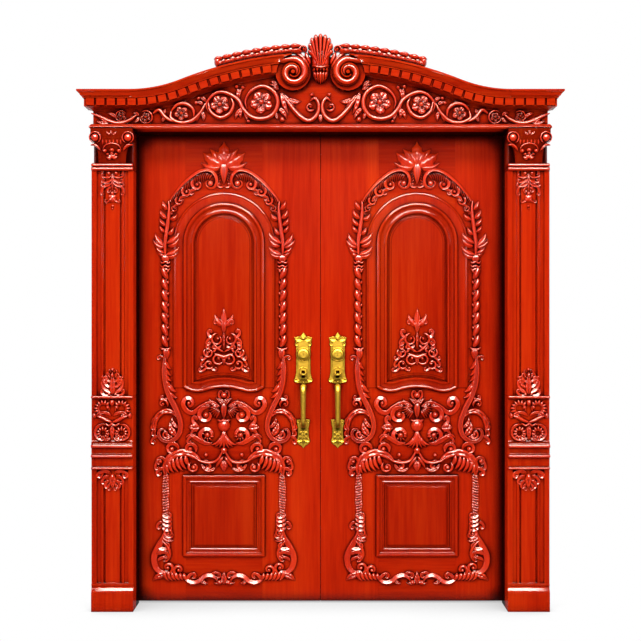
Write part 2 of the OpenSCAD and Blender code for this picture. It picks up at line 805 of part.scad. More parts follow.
module arch_half(t) {
    vine([[252, t + 165], [226, t + 215], [176, t + 283], [106, t + 325], [52, t + 321], [30, t + 285],
        [44, t + 255], [66, t + 263], [62, t + 283]], 32, carve_h, 8);
    scroll([128, t + 269], 25, 60, -330, 17, carve_h - 3, 4);
    scroll([172, t + 231], 23, 60, -330, 16, carve_h - 3, 4);
    scroll([210, t + 185], 21, 60, -330, 15, carve_h - 3, 4);
    leaf([92, t + 321], 40, 56, 26, 60, carve_h - 4);
}

module foliage_half(t) {
    vine([[246, t + 191], [270, t + 119], [258, t + 19], [264, t - 131]], 28, carve_h - 2, 5);
    for (i = [0:3]) {
        leaf([256, t + 165 - i * 72], -10, 68, 40, -80, carve_h - 3);
        leaf([266, t + 129 - i * 72], 200, 42, 30, 70, carve_h - 3);
    }
}

// A twisted rope: slanting leaves that overlap
module rope_half() {
    pitch = 51;
    n = floor((spring_z - serpent_z - 304) / pitch);
    for (i = [0:n - 1]) leaf([247, serpent_z + 186 + i * pitch], 62, 74, 40, 0, carve_h - 1);
}

module bracket_half(z) {
    vine([[264, z + 190], [272, z + 110], [258, z + 40], [244, z - 18]], 44, carve_h, 4);
    leaf([264, z + 154], -10, 44, 30, -90, carve_h - 4);
    vine([[262, z - 48], [226, z - 78], [196, z - 148], [216, z - 222], [260, z - 240], [306, z - 218],
        [288, z - 190]], 38, carve_h, 6);
    leaf([214, z - 118], 10, 108, 40, -60, carve_h - 3);
    leaf([212, z - 180], -10, 70, 36, 60, carve_h - 3);
    leaf([240, z - 62], 20, 72, 32, -80, carve_h - 4);
}

module panel_ornament() {
    z = serpent_z + 76;
    color(carved)
        on_leaf(field_h)
            sized(216, 288, z) {
                leaf([0, z + 180], 90, 108, 30, 0, carve_h - 3);
                vine([[0, z + 4], [0, z + 90], [0, z + 196]], 20, carve_h - 4, 3);
                both() {
                    leaf([4, z + 194], 52, 70, 22, 40, carve_h - 4);
                    leaf([4, z + 186], 14, 52, 18, -70, carve_h - 5);
                    vine([[6, z + 170], [44, z + 184], [72, z + 148], [56, z + 106], [26, z + 112],
                        [26, z + 138], [44, z + 140]], 23, carve_h - 4, 5);
                    vine([[6, z + 104], [48, z + 108], [88, z + 80], [88, z + 42], [58, z + 18],
                        [46, z + 38], [62, z + 48]], 24, carve_h - 4, 5);
                    leaf([12, z + 14], -6, 98, 28, 20, carve_h - 5);
                }
            }
}

module cartouche() {
    z = low_z + low_h + 106;
    color(carved)
        on_leaf()
            sized(364, 260, z) {
                dome([0, z + 126], 26, carve_h + 3);
                leaf([0, z + 160], 90, 100, 34);
                leaf([0, z + 104], -90, 104, 42);
                both() {
                    scroll([74, z + 162], 42, 210, -340, 25, carve_h, 6);
                    scroll([76, z + 78], 44, 150, 340, 26, carve_h, 6);
                    vine([[22, z + 196], [70, z + 218], [126, z + 200], [172, z + 222], [176, z + 196]], 28,
                        carve_h - 2, 5);
                    vine([[30, z + 52], [84, z + 26], [136, z + 36], [170, z + 62]], 28, carve_h - 2, 5);
                    leaf([108, z + 118], 16, 70, 36, -60);
                    leaf([108, z + 106], -20, 66, 34, 50);
                    leaf([8, z + 170], 50, 62, 22, 40);
                    leaf([116, z + 196], -40, 60, 28, 80, carve_h - 4);
                }
            }
}

// The festoon hangs over the lower moulding, the base lies under it, and strands run down its sides
module lower_carving() {
    color(carved)
        on_leaf()
            sized(648, low_h + 255, low_z - 127) {
                leaf([0, low_top + 11], 90, 62, 50);
                dome([0, low_top + 86], 13);
                leaf([0, low_z - 122], 90, 104, 34);
                both() {
                    festoon_half(low_top);
                    strand_half(low_z);
                    base_half(low_z);
                }
            }
}

module festoon_half(t) {
    vine([[268, t + 3], [256, t + 65], [214, t + 97], [150, t + 91], [100, t + 61], [58, t + 57],
        [22, t + 78], [8, t + 98]], 34, carve_h, 6);
    leaf([248, t + 75], 110, 46, 32, -50);
    leaf([212, t + 91], 84, 36, 30, -40);
    leaf([172, t + 91], 70, 40, 30, -40);
    leaf([132, t + 75], 56, 48, 28, -50);
    leaf([232, t + 83], -80, 66, 32, -50);
    leaf([190, t + 93], -90, 66, 32, -60);
    leaf([256, t + 41], 30, 60, 30, -70);
}

module strand_half(z) {
    pitch = 40;
    n = floor((low_h - 210) / pitch);
    for (i = [0:n - 1]) leaf([250, z + 210 + i * pitch], 64, 60, 36, 0, carve_h - 3);
    leaf([260, z + 222], -66, 104, 36, -40);
    leaf([264, z + 222], -112, 100, 36, 40);
    vine([[256, z + 136], [300, z + 80], [318, z], [302, z - 78], [262, z - 98], [236, z - 70],
        [258, z - 44]], 34, carve_h, 6);
    leaf([308, z + 46], 210, 62, 30, 50);
}

module base_half(z) {
    vine([[250, z - 94], [200, z - 70], [150, z - 94], [92, z - 110], [44, z - 84], [10, z - 60]], 28,
        carve_h - 2, 5);
    leaf([206, z - 76], 60, 50, 28, -60);
    leaf([120, z - 108], 50, 60, 28, 50);
    leaf([4, z - 114], 34, 70, 28, 40);
    leaf([284, z - 106], -20, 46, 24, 60);
}

// Hinges

function hinge_low(i) = leaf_z + lerp(150, leaf_h - 250, i / (hinge_n - 1));

// Knuckles of one hinge from number k on, every other one, and the flap that carries them
module flap(k, side, z) {
    n = 5;
    h = hinge_h / n;
    x = side > 0 ? hinge_gap / 2 : -hinge_gap / 2 - flap_t;
    translate([-pin_x, pin_y, z])
        difference() {
            union() {
                translate([x, jamb_d - flap_w - pin_y, 0]) cube([flap_t, flap_w, hinge_h]);
                for (i = [k:2:n - 1])
                    translate([0, 0, i * h + run]) {
                        cylinder(r = barrel_r, h = h - 2 * run);
                        translate([x, jamb_d - pin_y - 0.5, 0]) cube([flap_t, barrel_r + 0.5, h - 2 * run]);
                    }
            }
            translate([0, 0, -1]) cylinder(r = pin_r + run, h = hinge_h + 2);
        }
}

module hinge_frame_flaps() {
    color(brass)
        both()
            for (i = [0:hinge_n - 1]) flap(0, -1, hinge_low(i));
}

module hinge_leaf_flaps() {
    color(brass)
        for (i = [0:hinge_n - 1]) flap(1, 1, hinge_low(i));
}

module hinge_pins() {
    color(steel)
        both()
            for (i = [0:hinge_n - 1])
                translate([-pin_x, pin_y, hinge_low(i)]) {
                    cylinder(r = pin_r, h = hinge_h);
                    translate([0, 0, hinge_h]) cylinder(r = barrel_r - 1, h = 5);
                }
}

// Handle sets

// Half outline of the long plate: pointed finial, ears, hollow sides, ears and a pointed drop
function plate_half() =
    let (z = key_z)
    [[0, z + 100], [9, z + 88], [13, z + 79], [24, z + 81], [40, z + 77], [36, z + 64], [32, z + 46],
     [31, z - 10], [32, z - 84], [36, z - 104], [41, z - 124], [28, z - 122], [17, z - 130], [0, z - 134]];

// Half outline of the foot plate, z is the middle of the grip's lower end
function foot_half(z) =
    [[0, z + 26], [12, z + 24], [18, z + 20], [30, z + 26], [27, z + 6], [23, z - 14], [24, z - 52],
     [30, z - 76], [20, z - 86], [9, z - 92], [0, z - 104]];

// An outline from its half, which runs from the top to the bottom
module whole(half) {
    n = len(half) - 1;
    polygon(concat(half, [for (i = [n - 1:-1:1]) [-half[i][0], half[i][1]]]));
}

module handle_plate() {
    color(brass)
        on_handle()
            difference() {
                union() {
                    relief(5) whole(plate_half());
                    relief(8) translate([-22, key_z - 112]) square([44, 176]);
                    translate([0, 0, key_z])
                        rotate([90, 0, 0])
                            rotate_extrude()
                                polygon([[0, 0], [27, 0], [27, 11], [24, 16], [17, 18], [15, 15], [0, 15]]);
                    both() translate([9, -18, thumb_z - 6]) cube([5, 18, 12]);
                }
                translate([0, 1, key_z]) rotate([90, 0, 0]) cylinder(r = key_r + run, h = 60);
                translate([-8, -60, thumb_z - 17]) cube([16, 70, 34]);
                translate([0, -thumb_f, thumb_z])
                    rotate([0, 90, 0]) cylinder(r = 2.5 + run, h = 60, center = true);
            }
}

module thumb_press() {
    color(brass)
        on_handle()
            translate([0, -thumb_f, thumb_z]) {
                rotate([0, 90, 0]) cylinder(r = 2.5, h = 27, center = true);
                translate([-7, -26, -3]) cube([14, 36, 6]);
                translate([0, -32, -3]) cylinder(r = 13, h = 6);
            }
}

module key_cylinder() {
    color(brass)
        on_handle()
            translate([0, 0, key_z])
                difference() {
                    union() {
                        rotate([90, 0, 0]) translate([0, 0, -14]) cylinder(r = key_r, h = 33);
                        rotate([90, 0, 0]) translate([0, 0, 18.1]) cylinder(r = 16, h = 3);
                    }
                    translate([-1, -30, -6]) cube([2, 20, 12]);
                }
}

// A bowed bar with its two feet: reach from the face, upper and lower foot, radii
module bow(reach, z1, z0, r1, r0) {
    e = 20;
    translate([0, 0, z1]) rotate([90, 0, 0]) cylinder(r = r1, h = reach - e);
    translate([0, 0, z0]) rotate([90, 0, 0]) cylinder(r = r0, h = reach - e);
    translate([0, e - reach, z1 - e])
        rotate([0, -90, 0]) rotate([0, 0, 270]) rotate_extrude(angle = 90) translate([e, 0]) circle(r = r1);
    translate([0, e - reach, z0 + e])
        rotate([0, -90, 0]) rotate([0, 0, 180]) rotate_extrude(angle = 90) translate([e, 0]) circle(r = r0);
    translate([0, -reach, z0 + e]) cylinder(r1 = r0, r2 = r1, h = z1 - z0 - 2 * e);
}

module grip() {
    z1 = key_z - 148;
    z0 = key_z - 324;
    color(brass)
        on_handle() {
            bow(grip_reach, z1, z0, 13, 10.5);
            translate([0, 0, z1]) rotate([90, 0, 0]) cylinder(r1 = 13.5, r2 = 12, h = 6);
            relief(5) whole(foot_half(z0));
            translate([0, 0, z0]) rotate([90, 0, 0]) cylinder(r = 16, h = 9);
        }
}

module inside_pull() {
    z1 = key_z - 60;
    z0 = key_z - 260;
    color(brass)
        on_handle(-leaf_t)
            mirror([0, 1, 0]) {
                bow(pull_reach, z1, z0, pull_r, pull_r);
                for (z = [z0, z1]) translate([0, 0, z]) rotate([90, 0, 0]) cylinder(r = 17, h = 5);
            }
}

module deadbolt() {
    color(brass)
        translate([-edge_x - bolt_l - 0.5, leaf_in + leaf_t / 2 - bolt_t / 2, key_z - bolt_h / 2])
            cube([bolt_l, bolt_t, bolt_h]);
}

middle() head_jamb();
middle() bed_moulding();
middle() pediment_board();
middle() frieze_carving();
middle() crest_shell();
middle() hinge_frame_flaps();
middle() hinge_pins();
on_side("right") deadbolt();  // right_deadbolt
for (s = SIDES) {
    on_side(s) jamb();
    on_side(s) pilaster();
    on_side(s) capital();
    on_side(s) dado_block();
    on_side(s) pilaster_carvings();
    on_side(s) crown();
    on_side(s) garland();
    on_side(s) hinge_stile();
    on_side(s) lock_stile(s == "right");
    on_side(s) top_rail();
    on_side(s) rail(lock_z0, lock_z1);
    on_side(s) rail(leaf_z, bottom_z1);
    on_side(s) upper_panel();
    on_side(s) lower_panel();
    on_side(s) upper_moulding();
    on_side(s) lower_moulding();
    on_side(s) upper_carving();
    on_side(s) panel_ornament();
    on_side(s) cartouche();
    on_side(s) lower_carving();
    on_side(s) handle_plate();
    on_side(s) grip();
    on_side(s) thumb_press();
    on_side(s) key_cylinder();
    on_side(s) inside_pull();
    on_side(s) hinge_leaf_flaps();
}
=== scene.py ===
"""Looks of a carved double entrance door in its frame: smooth carving over the plain boards, red lacquered
wood with painted shade in its crevices, aged brass handle sets, soft studio light."""
import math

import bpy
import numpy as np
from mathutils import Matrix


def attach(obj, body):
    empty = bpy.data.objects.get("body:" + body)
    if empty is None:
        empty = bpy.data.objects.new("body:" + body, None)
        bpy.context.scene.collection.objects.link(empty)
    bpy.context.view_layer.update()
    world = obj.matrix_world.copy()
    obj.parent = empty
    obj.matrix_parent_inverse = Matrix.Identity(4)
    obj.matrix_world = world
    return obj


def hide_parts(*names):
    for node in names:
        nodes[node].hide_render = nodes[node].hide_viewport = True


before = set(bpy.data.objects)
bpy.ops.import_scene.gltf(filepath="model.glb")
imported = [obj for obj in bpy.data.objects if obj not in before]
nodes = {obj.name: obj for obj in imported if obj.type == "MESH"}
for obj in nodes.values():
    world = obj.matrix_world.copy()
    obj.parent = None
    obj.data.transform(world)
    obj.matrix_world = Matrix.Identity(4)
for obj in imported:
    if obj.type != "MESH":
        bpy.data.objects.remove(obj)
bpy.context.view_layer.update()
scene = bpy.context.scene

SIDES = (("left", -1), ("right", 1))
MM = 1000  # millimetres in a metre

# Places in mm, as in the part's source: x of a middle line, y of the face that a carving stands on, or of
# the middle plane of one that stands free
LEAF_X = 441
LEAF_FACE = 52
PANEL_FACE = 46
HANDLE_X = 78.5
PLATE_FACE = 47
PILASTER_X = 922
SHAFT_FACE = -92
DADO_FACE = -100
CAPITAL_FACE = -107
POST_FACE = -29
PEDIMENT_FACE = -90
GARLAND_FACE = -108

# Circles in mm: the crown's bar and the garlands' seat run round one centre below the swell
SWELL_Z = 791
BAR_R = 1654
LAUREL_R = 1673
VOLUTE_EYE = (121, 2382)

# A black strip in the gap between the leaves, painted shade where the gap is dark, in mm
GAP_STRIP_X = -0.51
GAP_STRIP_WIDTH = 3.98
GAP_STRIP_FACE = 60.5

# Widths in metres of the bevels and of the weld that joins a node's loose triangles
FINE_EDGE = 0.0004
PLAIN_EDGE = 0.0015
SOFT_EDGE = 0.0034
WELD = 0.00002
EDGE_ANGLE = math.radians(32)

# Colours: the wood's reds along its grain, the painted shade in hollows and corners, the room that gloss
# shows
GRAIN_REDS = ((0.30, (0.33, 0.0065, 0.0010)), (0.50, (0.52, 0.0190, 0.0018)), (0.72, (0.66, 0.0420, 0.0035)))
HOLLOW_SHADE = (0.060, 0.0008, 0.0004, 1)
CORNER_SHADE = (0.020, 0.0004, 0.0002, 1)
CORNER_SHADE_REACH = 0.085
BLACK = (0, 0, 0)
WHITE = (1, 1, 1)
DARK_ROOM = (0.02, 0.02, 0.02)


class Graph:
    """A short way to add shader nodes: sockets are linked, plain values are set on the node's own socket."""

    def __init__(self, tree):
        self.tree = tree
        tree.nodes.clear()

    def add(self, kind, inputs=None, **props):
        """One node of the kind, its properties set first and its inputs linked or set after them."""
        node = self.tree.nodes.new("ShaderNode" + kind)
        for key, value in props.items():
            setattr(node, key, value)
        for key, value in (inputs or {}).items():
            if isinstance(value, bpy.types.NodeSocket):
                self.tree.links.new(value, node.inputs[key])
            else:
                node.inputs[key].default_value = value
        return node

    def ramp(self, fac, stops):
        """A colour that runs straight from stop to stop as the factor rises."""
        node = self.add("ValToRGB", {"Fac": fac})
        marks = node.color_ramp.elements
        while len(marks) < len(stops):
            marks.new(0.5)
        for mark, (place, colour) in zip(marks, stops):
            mark.position = place
            mark.color = (*colour, 1)
        return node.outputs["Color"]

    def mix(self, fac, a, b, blend="MIX"):
        """Colour a at factor 0, b at factor 1, blended in the named way (6, 7 and 2 are colour sockets)."""
        node = self.add("Mix", {0: fac, 6: a, 7: b}, data_type="RGBA", blend_type=blend)
        return node.outputs[2]

    def math(self, op, a, b=0.0, clamp=False):
        """One step of arithmetic on two values."""
        node = self.add("Math", {0: a, 1: b}, operation=op, use_clamp=clamp)
        return node.outputs[0]

    def sky(self, reach):
        """The share of open sky over a point, counting only what stands within reach: low in hollows."""
        return self.add("AmbientOcclusion", {"Distance": reach}, samples=8).outputs["AO"]

    def seen(self, path):
        """1 on rays that come from the lens, a gloss or a glass, 0 on plain light."""
        beyond = self.math("MAXIMUM", path.outputs["Is Glossy Ray"], path.outputs["Is Transmission Ray"])
        return self.math("MAXIMUM", path.outputs["Is Camera Ray"], beyond)

    def done(self, shader):
        """Makes the shader the material's surface."""
        self.add("OutputMaterial", {"Surface": shader})


def blank(name):
    """A new material and the graph of its emptied node tree."""
    mat = bpy.data.materials.new(name)
    mat.use_nodes = True
    return mat, Graph(mat.node_tree)


def wood(name, grain, tone=1.0, carved=False, reach=0.03, deep=0.88, coat=0.45, gloss=0.06, start=0.3,
         corner=(0.52, 0.86)):
    """Red lacquered wood: fine grain drawn out along one axis plus broad cloudy tones, with painted shade in
    hollows.

    The painted shade is full where the open sky within reach is at most start, and gone from deep on. Boards
    get a darker painted shade in wide corners, and carving gets some of the first one on its low parts.
    """
    mat, g = blank(name)
    where = g.add("TexCoord").outputs["Object"]
    scale = {"x": (1.6, 34, 34), "z": (34, 34, 1.6)}[grain]
    lines = g.add("Mapping", {"Vector": where, "Scale": scale}).outputs["Vector"]
    fine = g.add("TexNoise", {"Vector": lines, "Scale": 2.2, "Detail": 6.0, "Roughness": 0.65}).outputs["Fac"]
    wide = g.add("Mapping", {"Vector": where, "Scale": tuple(s * 0.16 for s in scale)}).outputs["Vector"]
    cloud = g.add("TexNoise", {"Vector": wide, "Scale": 1.4, "Detail": 3.0, "Distortion": 0.4}).outputs["Fac"]
    both = g.math("ADD", g.math("MULTIPLY", fine, 0.45), g.math("MULTIPLY", cloud, 0.55))
    body = g.ramp(both, [(place, tuple(c * tone for c in red)) for place, red in GRAIN_REDS])
    # Painted shade: where little open sky lies within reach, the colour goes to the dark hollow shade
    shade = g.ramp(g.sky(reach), [(start, BLACK), (deep, WHITE)])
    colour = g.mix(shade, HOLLOW_SHADE, body)
    if carved:
        # Painted shade on the carving's low parts: the lower the relief, the more of the hollow shade
        height = g.add("Attribute", attribute_name="relief").outputs["Fac"]
        low = g.ramp(height, [(0.0, BLACK), (0.45, WHITE)])
        colour = g.mix(low, g.mix(0.45, colour, HOLLOW_SHADE), colour)
    else:
        # Painted shade in the boards' wide corners, such as beside the jamb and under the head
        corner_shade_mask = g.ramp(g.sky(CORNER_SHADE_REACH), [(corner[0], BLACK), (corner[1], WHITE)])
        colour = g.mix(corner_shade_mask, CORNER_SHADE, colour)
    bump = g.add("Bump", {"Strength": 0.05, "Distance": 0.001, "Height": fine}).outputs["Normal"]
    skin = g.add("BsdfPrincipled", {
        "Base Color": colour, "Roughness": 0.50, "Specular IOR Level": 0.0, "Coat Weight": coat,
        "Coat Roughness": gloss, "Normal": bump})
    g.done(skin.outputs["BSDF"])
    return mat


def metal(name, light, dark, rough):
    """Aged metal: open sky times fine spots picks a colour from dark to light; small cells dent the skin."""
    mat, g = blank(name)
    where = g.add("TexCoord").outputs["Object"]
    spots = g.add("TexNoise", {"Vector": where, "Scale": 90.0, "Detail": 4.0}).outputs["Fac"]
    worn = g.math("MULTIPLY", g.sky(0.02), g.math("ADD", 0.55, spots), clamp=True)
    colour = g.ramp(worn, [(0.30, dark), (0.85, light)])
    cuts = g.add("TexVoronoi", {"Vector": where, "Scale": 120.0}).outputs["Distance"]
    bump = g.add("Bump", {"Strength": 0.4, "Distance": 0.0015, "Height": cuts}).outputs["Normal"]
    skin = g.add("BsdfPrincipled", {
        "Base Color": colour, "Metallic": 1.0, "Roughness": rough, "Normal": bump})
    g.done(skin.outputs["BSDF"])
    return mat


def shade_black(name):
    """A dull black that gives back almost no light: painted shade for the dark gap between the leaves."""
    mat, g = blank(name)
    skin = g.add("BsdfPrincipled", {
        "Base Color": (0.006, 0.001, 0.001, 1), "Roughness": 0.95, "Specular IOR Level": 0.0})
    g.done(skin.outputs["BSDF"])
    return mat


# Every wood below carries painted shade in hollows and corners; reach, start, deep and corner set how far it
# goes
upright = wood("upright_grain", "z")
lying = wood("lying_grain", "x", 0.92)
pillar = wood("pilaster_grain", "z", deep=0.7, start=0.2, corner=(0.3, 0.66))
moulded = wood("moulded_grain", "z", 0.98, reach=0.045, deep=1.0, coat=0.3, gloss=0.12, start=0.52)
relief = wood("carved_red", "z", 1.36, True, reach=0.014, deep=0.76, coat=1.0, gloss=0.25, start=0.36)
panel = wood("panel_grain", "z", 0.84)
# Painted shade: the jamb is nearly black, standing for the shade in the reveal
reveal_shade = wood("reveal_painted_shade", "z", 0.034)
# Painted shade: the capital and the post behind it are dark for the shade under the cornice
capital_shade = wood("capital_painted_shade", "z", 0.42, reach=0.045, deep=1.0)
brass = metal("aged_brass", (0.41, 0.295, 0.033), (0.075, 0.042, 0.003), 0.46)
steel = metal("plain_steel", (0.55, 0.55, 0.57), (0.2, 0.2, 0.2), 0.35)
# Painted shade: a dull black for the strip in the dark gap between the leaves
gap_shade = shade_black("gap_painted_shade")

LYING = ("top_rail", "lock_rail", "bottom_rail", "bed_moulding", "pediment_board", "crown")
CARVED = ("carvings", "carving", "ornament", "cartouche", "garland", "crest_shell")
BRASS = ("handle_plate", "grip", "thumb_press", "key_cylinder", "inside_pull", "flaps", "deadbolt")
FINISHES = ((BRASS, brass), ("pins", steel), ("jamb", reveal_shade), ("_panel", panel), ("_capital", capital_shade),
            ("_pilaster", pillar), (CARVED, relief), (("upper_moulding", "lower_moulding"), moulded),
            (LYING, lying))


def finish_of(name):
    """The finish of the first row whose ending the node's name has, or plain upright wood."""
    return next((finish for ending, finish in FINISHES if name.endswith(ending)), upright)


def edge_of(name):
    """Bevel width: soft on the pilaster's blocks, fine on metal, stiles and rails, plain on the others."""
    if name.endswith(("capital", "dado_block", "pilaster")):
        return SOFT_EDGE
    return FINE_EDGE if name.endswith(BRASS + ("pins", "stile", "rail")) else PLAIN_EDGE


for name, node in nodes.items():
    node.data.materials.clear()
    node.data.materials.append(finish_of(name))
    weld = node.modifiers.new("weld", "WELD")
    weld.merge_threshold = WELD
    if not name.endswith(CARVED):
        edge = node.modifiers.new("edge", "BEVEL")
        edge.width = edge_of(name)
        edge.segments = 3
        edge.limit_method = "ANGLE"
        edge.angle_limit = EDGE_ANGLE


# Carving: every stroke is a closed surface on a board, x across, z up, f towards the viewer, in mm.
# Along a stroke t runs from 0 to 1, and across it u runs from -1 to 1.


def rounded(t, u):
    """Half a circle: the root of 1 less u squared."""
    return np.sqrt(np.clip(1 - u * u, 0, 1))


def squared(t, u):
    """A flat top between upright sides: 1 less a very high power of u."""
    return 1 - u ** 40


def sharp(t, u):
    """A ridge: 1 less the distance from the middle line, to the power 0.75."""
    return (1 - np.abs(u)) ** 0.75


def gouged(t, u):
    """High on one edge, falling to a hollow at the other: a flat arch times a rise from 0.38 to 1."""
    return np.sqrt(np.clip(1 - u ** 6, 0, 1)) * (0.38 + 0.62 * (0.5 + 0.5 * u) ** 1.6)


def veined(t, u):
    """A leaf: two swelling halves beside a groove, crossed by slanting cuts."""
    cut = 0.84 + 0.16 * np.cos(2 * np.pi * (4.5 * t - 0.8 * np.abs(u)))
    return rounded(t, u) ** 0.8 * (1 - 0.45 * np.exp(-(u / 0.16) ** 2)) * cut


def fluted(t, u):
    """A flat arch times the size of a cosine with two turns across it, which leaves ridges between flutes."""
    return np.sqrt(np.clip(1 - u ** 4, 0, 1)) * (0.5 + 0.5 * np.abs(np.cos(2 * np.pi * u)))


def grained(t, u):
    """Half a circle times two cosines that slant across each other: rows of small grains."""
    return rounded(t, u) * (0.62 + 0.38 * np.cos(19 * np.pi * t + 7 * u) * np.cos(13 * np.pi * t - 9 * u))


def even(t):
    """The same width all along."""
    return 1 + 0 * t


def tapering(t):
    """A leaf's width: half a sine wave over t to the power 0.7, broadest nearer the foot."""
    return np.sin(np.pi * np.clip(t, 0.02, 0.985) ** 0.7)


def stem(t):
    """Nearly even, with rounded ends: half a sine wave to the power 0.4."""
    return np.sin(np.pi * np.clip(t, 0.012, 0.988)) ** 0.4


def strand(t):
    """Full and blunt: half a sine wave to the power 0.6, with a little left at the ends."""
    return np.sin(np.pi * t) ** 0.6 + 0.02


def winding(t):
    """Full soon after its start, then narrower by 0.4 along the way, and closed at its end."""
    return np.minimum(1, 6 * t + 0.08) * (1.05 - 0.4 * t) * np.sqrt(np.clip(1.02 - t ** 12, 0.02, 1))


def petal(t):
    """Half a sine wave over t to the power 1.5, broadest nearer the tip, made fuller by the power 0.7."""
    return np.sin(np.pi * np.clip(t, 0.02, 0.985) ** 1.5) ** 0.7


def lobed(t):
    """A leaf's width that swells and narrows four times on its way."""
    return tapering(t) * (1 + 0.16 * np.cos(8 * np.pi * t))


def straight(p, q, n):
    """Points evenly spaced from p to q."""
    return np.stack([np.linspace(p[0], q[0], n), np.linspace(p[1], q[1], n)], -1)


def bowed(p, q, bow, n):
    """Points from p to q, moved left by the length times bow times 4 t (1 - t), and the last heading."""
    p, q = np.array(p, float), np.array(q, float)
    t = np.linspace(0, 1, n)[:, None]
    side = np.array([-(q - p)[1], (q - p)[0]])
    heading = (q - p) - 4 * bow * side
    return p + (q - p) * t + side * bow * 4 * t * (1 - t), heading / np.hypot(*heading)


def spline(points, n):
    """Points evenly spaced along the smooth curve through the given points (Catmull-Rom)."""
    p = np.array(points, float)
    p = np.vstack([2 * p[0] - p[1], p, 2 * p[-1] - p[-2]])
    k = len(p) - 3
    s = np.linspace(0, k - 1e-6, 40 * k)
    i = s.astype(int)
    u = (s - i)[:, None]
    a, b, c, d = p[i], p[i + 1], p[i + 2], p[i + 3]
    q = 0.5 * (2 * b + (c - a) * u + (2 * a - 5 * b + 4 * c - d) * u ** 2 + (3 * b - a - 3 * c + d) * u ** 3)
    run = np.concatenate([[0], np.cumsum(np.hypot(*np.diff(q, axis=0).T))])
    at = np.linspace(0, run[-1], n)
    return np.stack([np.interp(at, run, q[:, 0]), np.interp(at, run, q[:, 1])], -1)


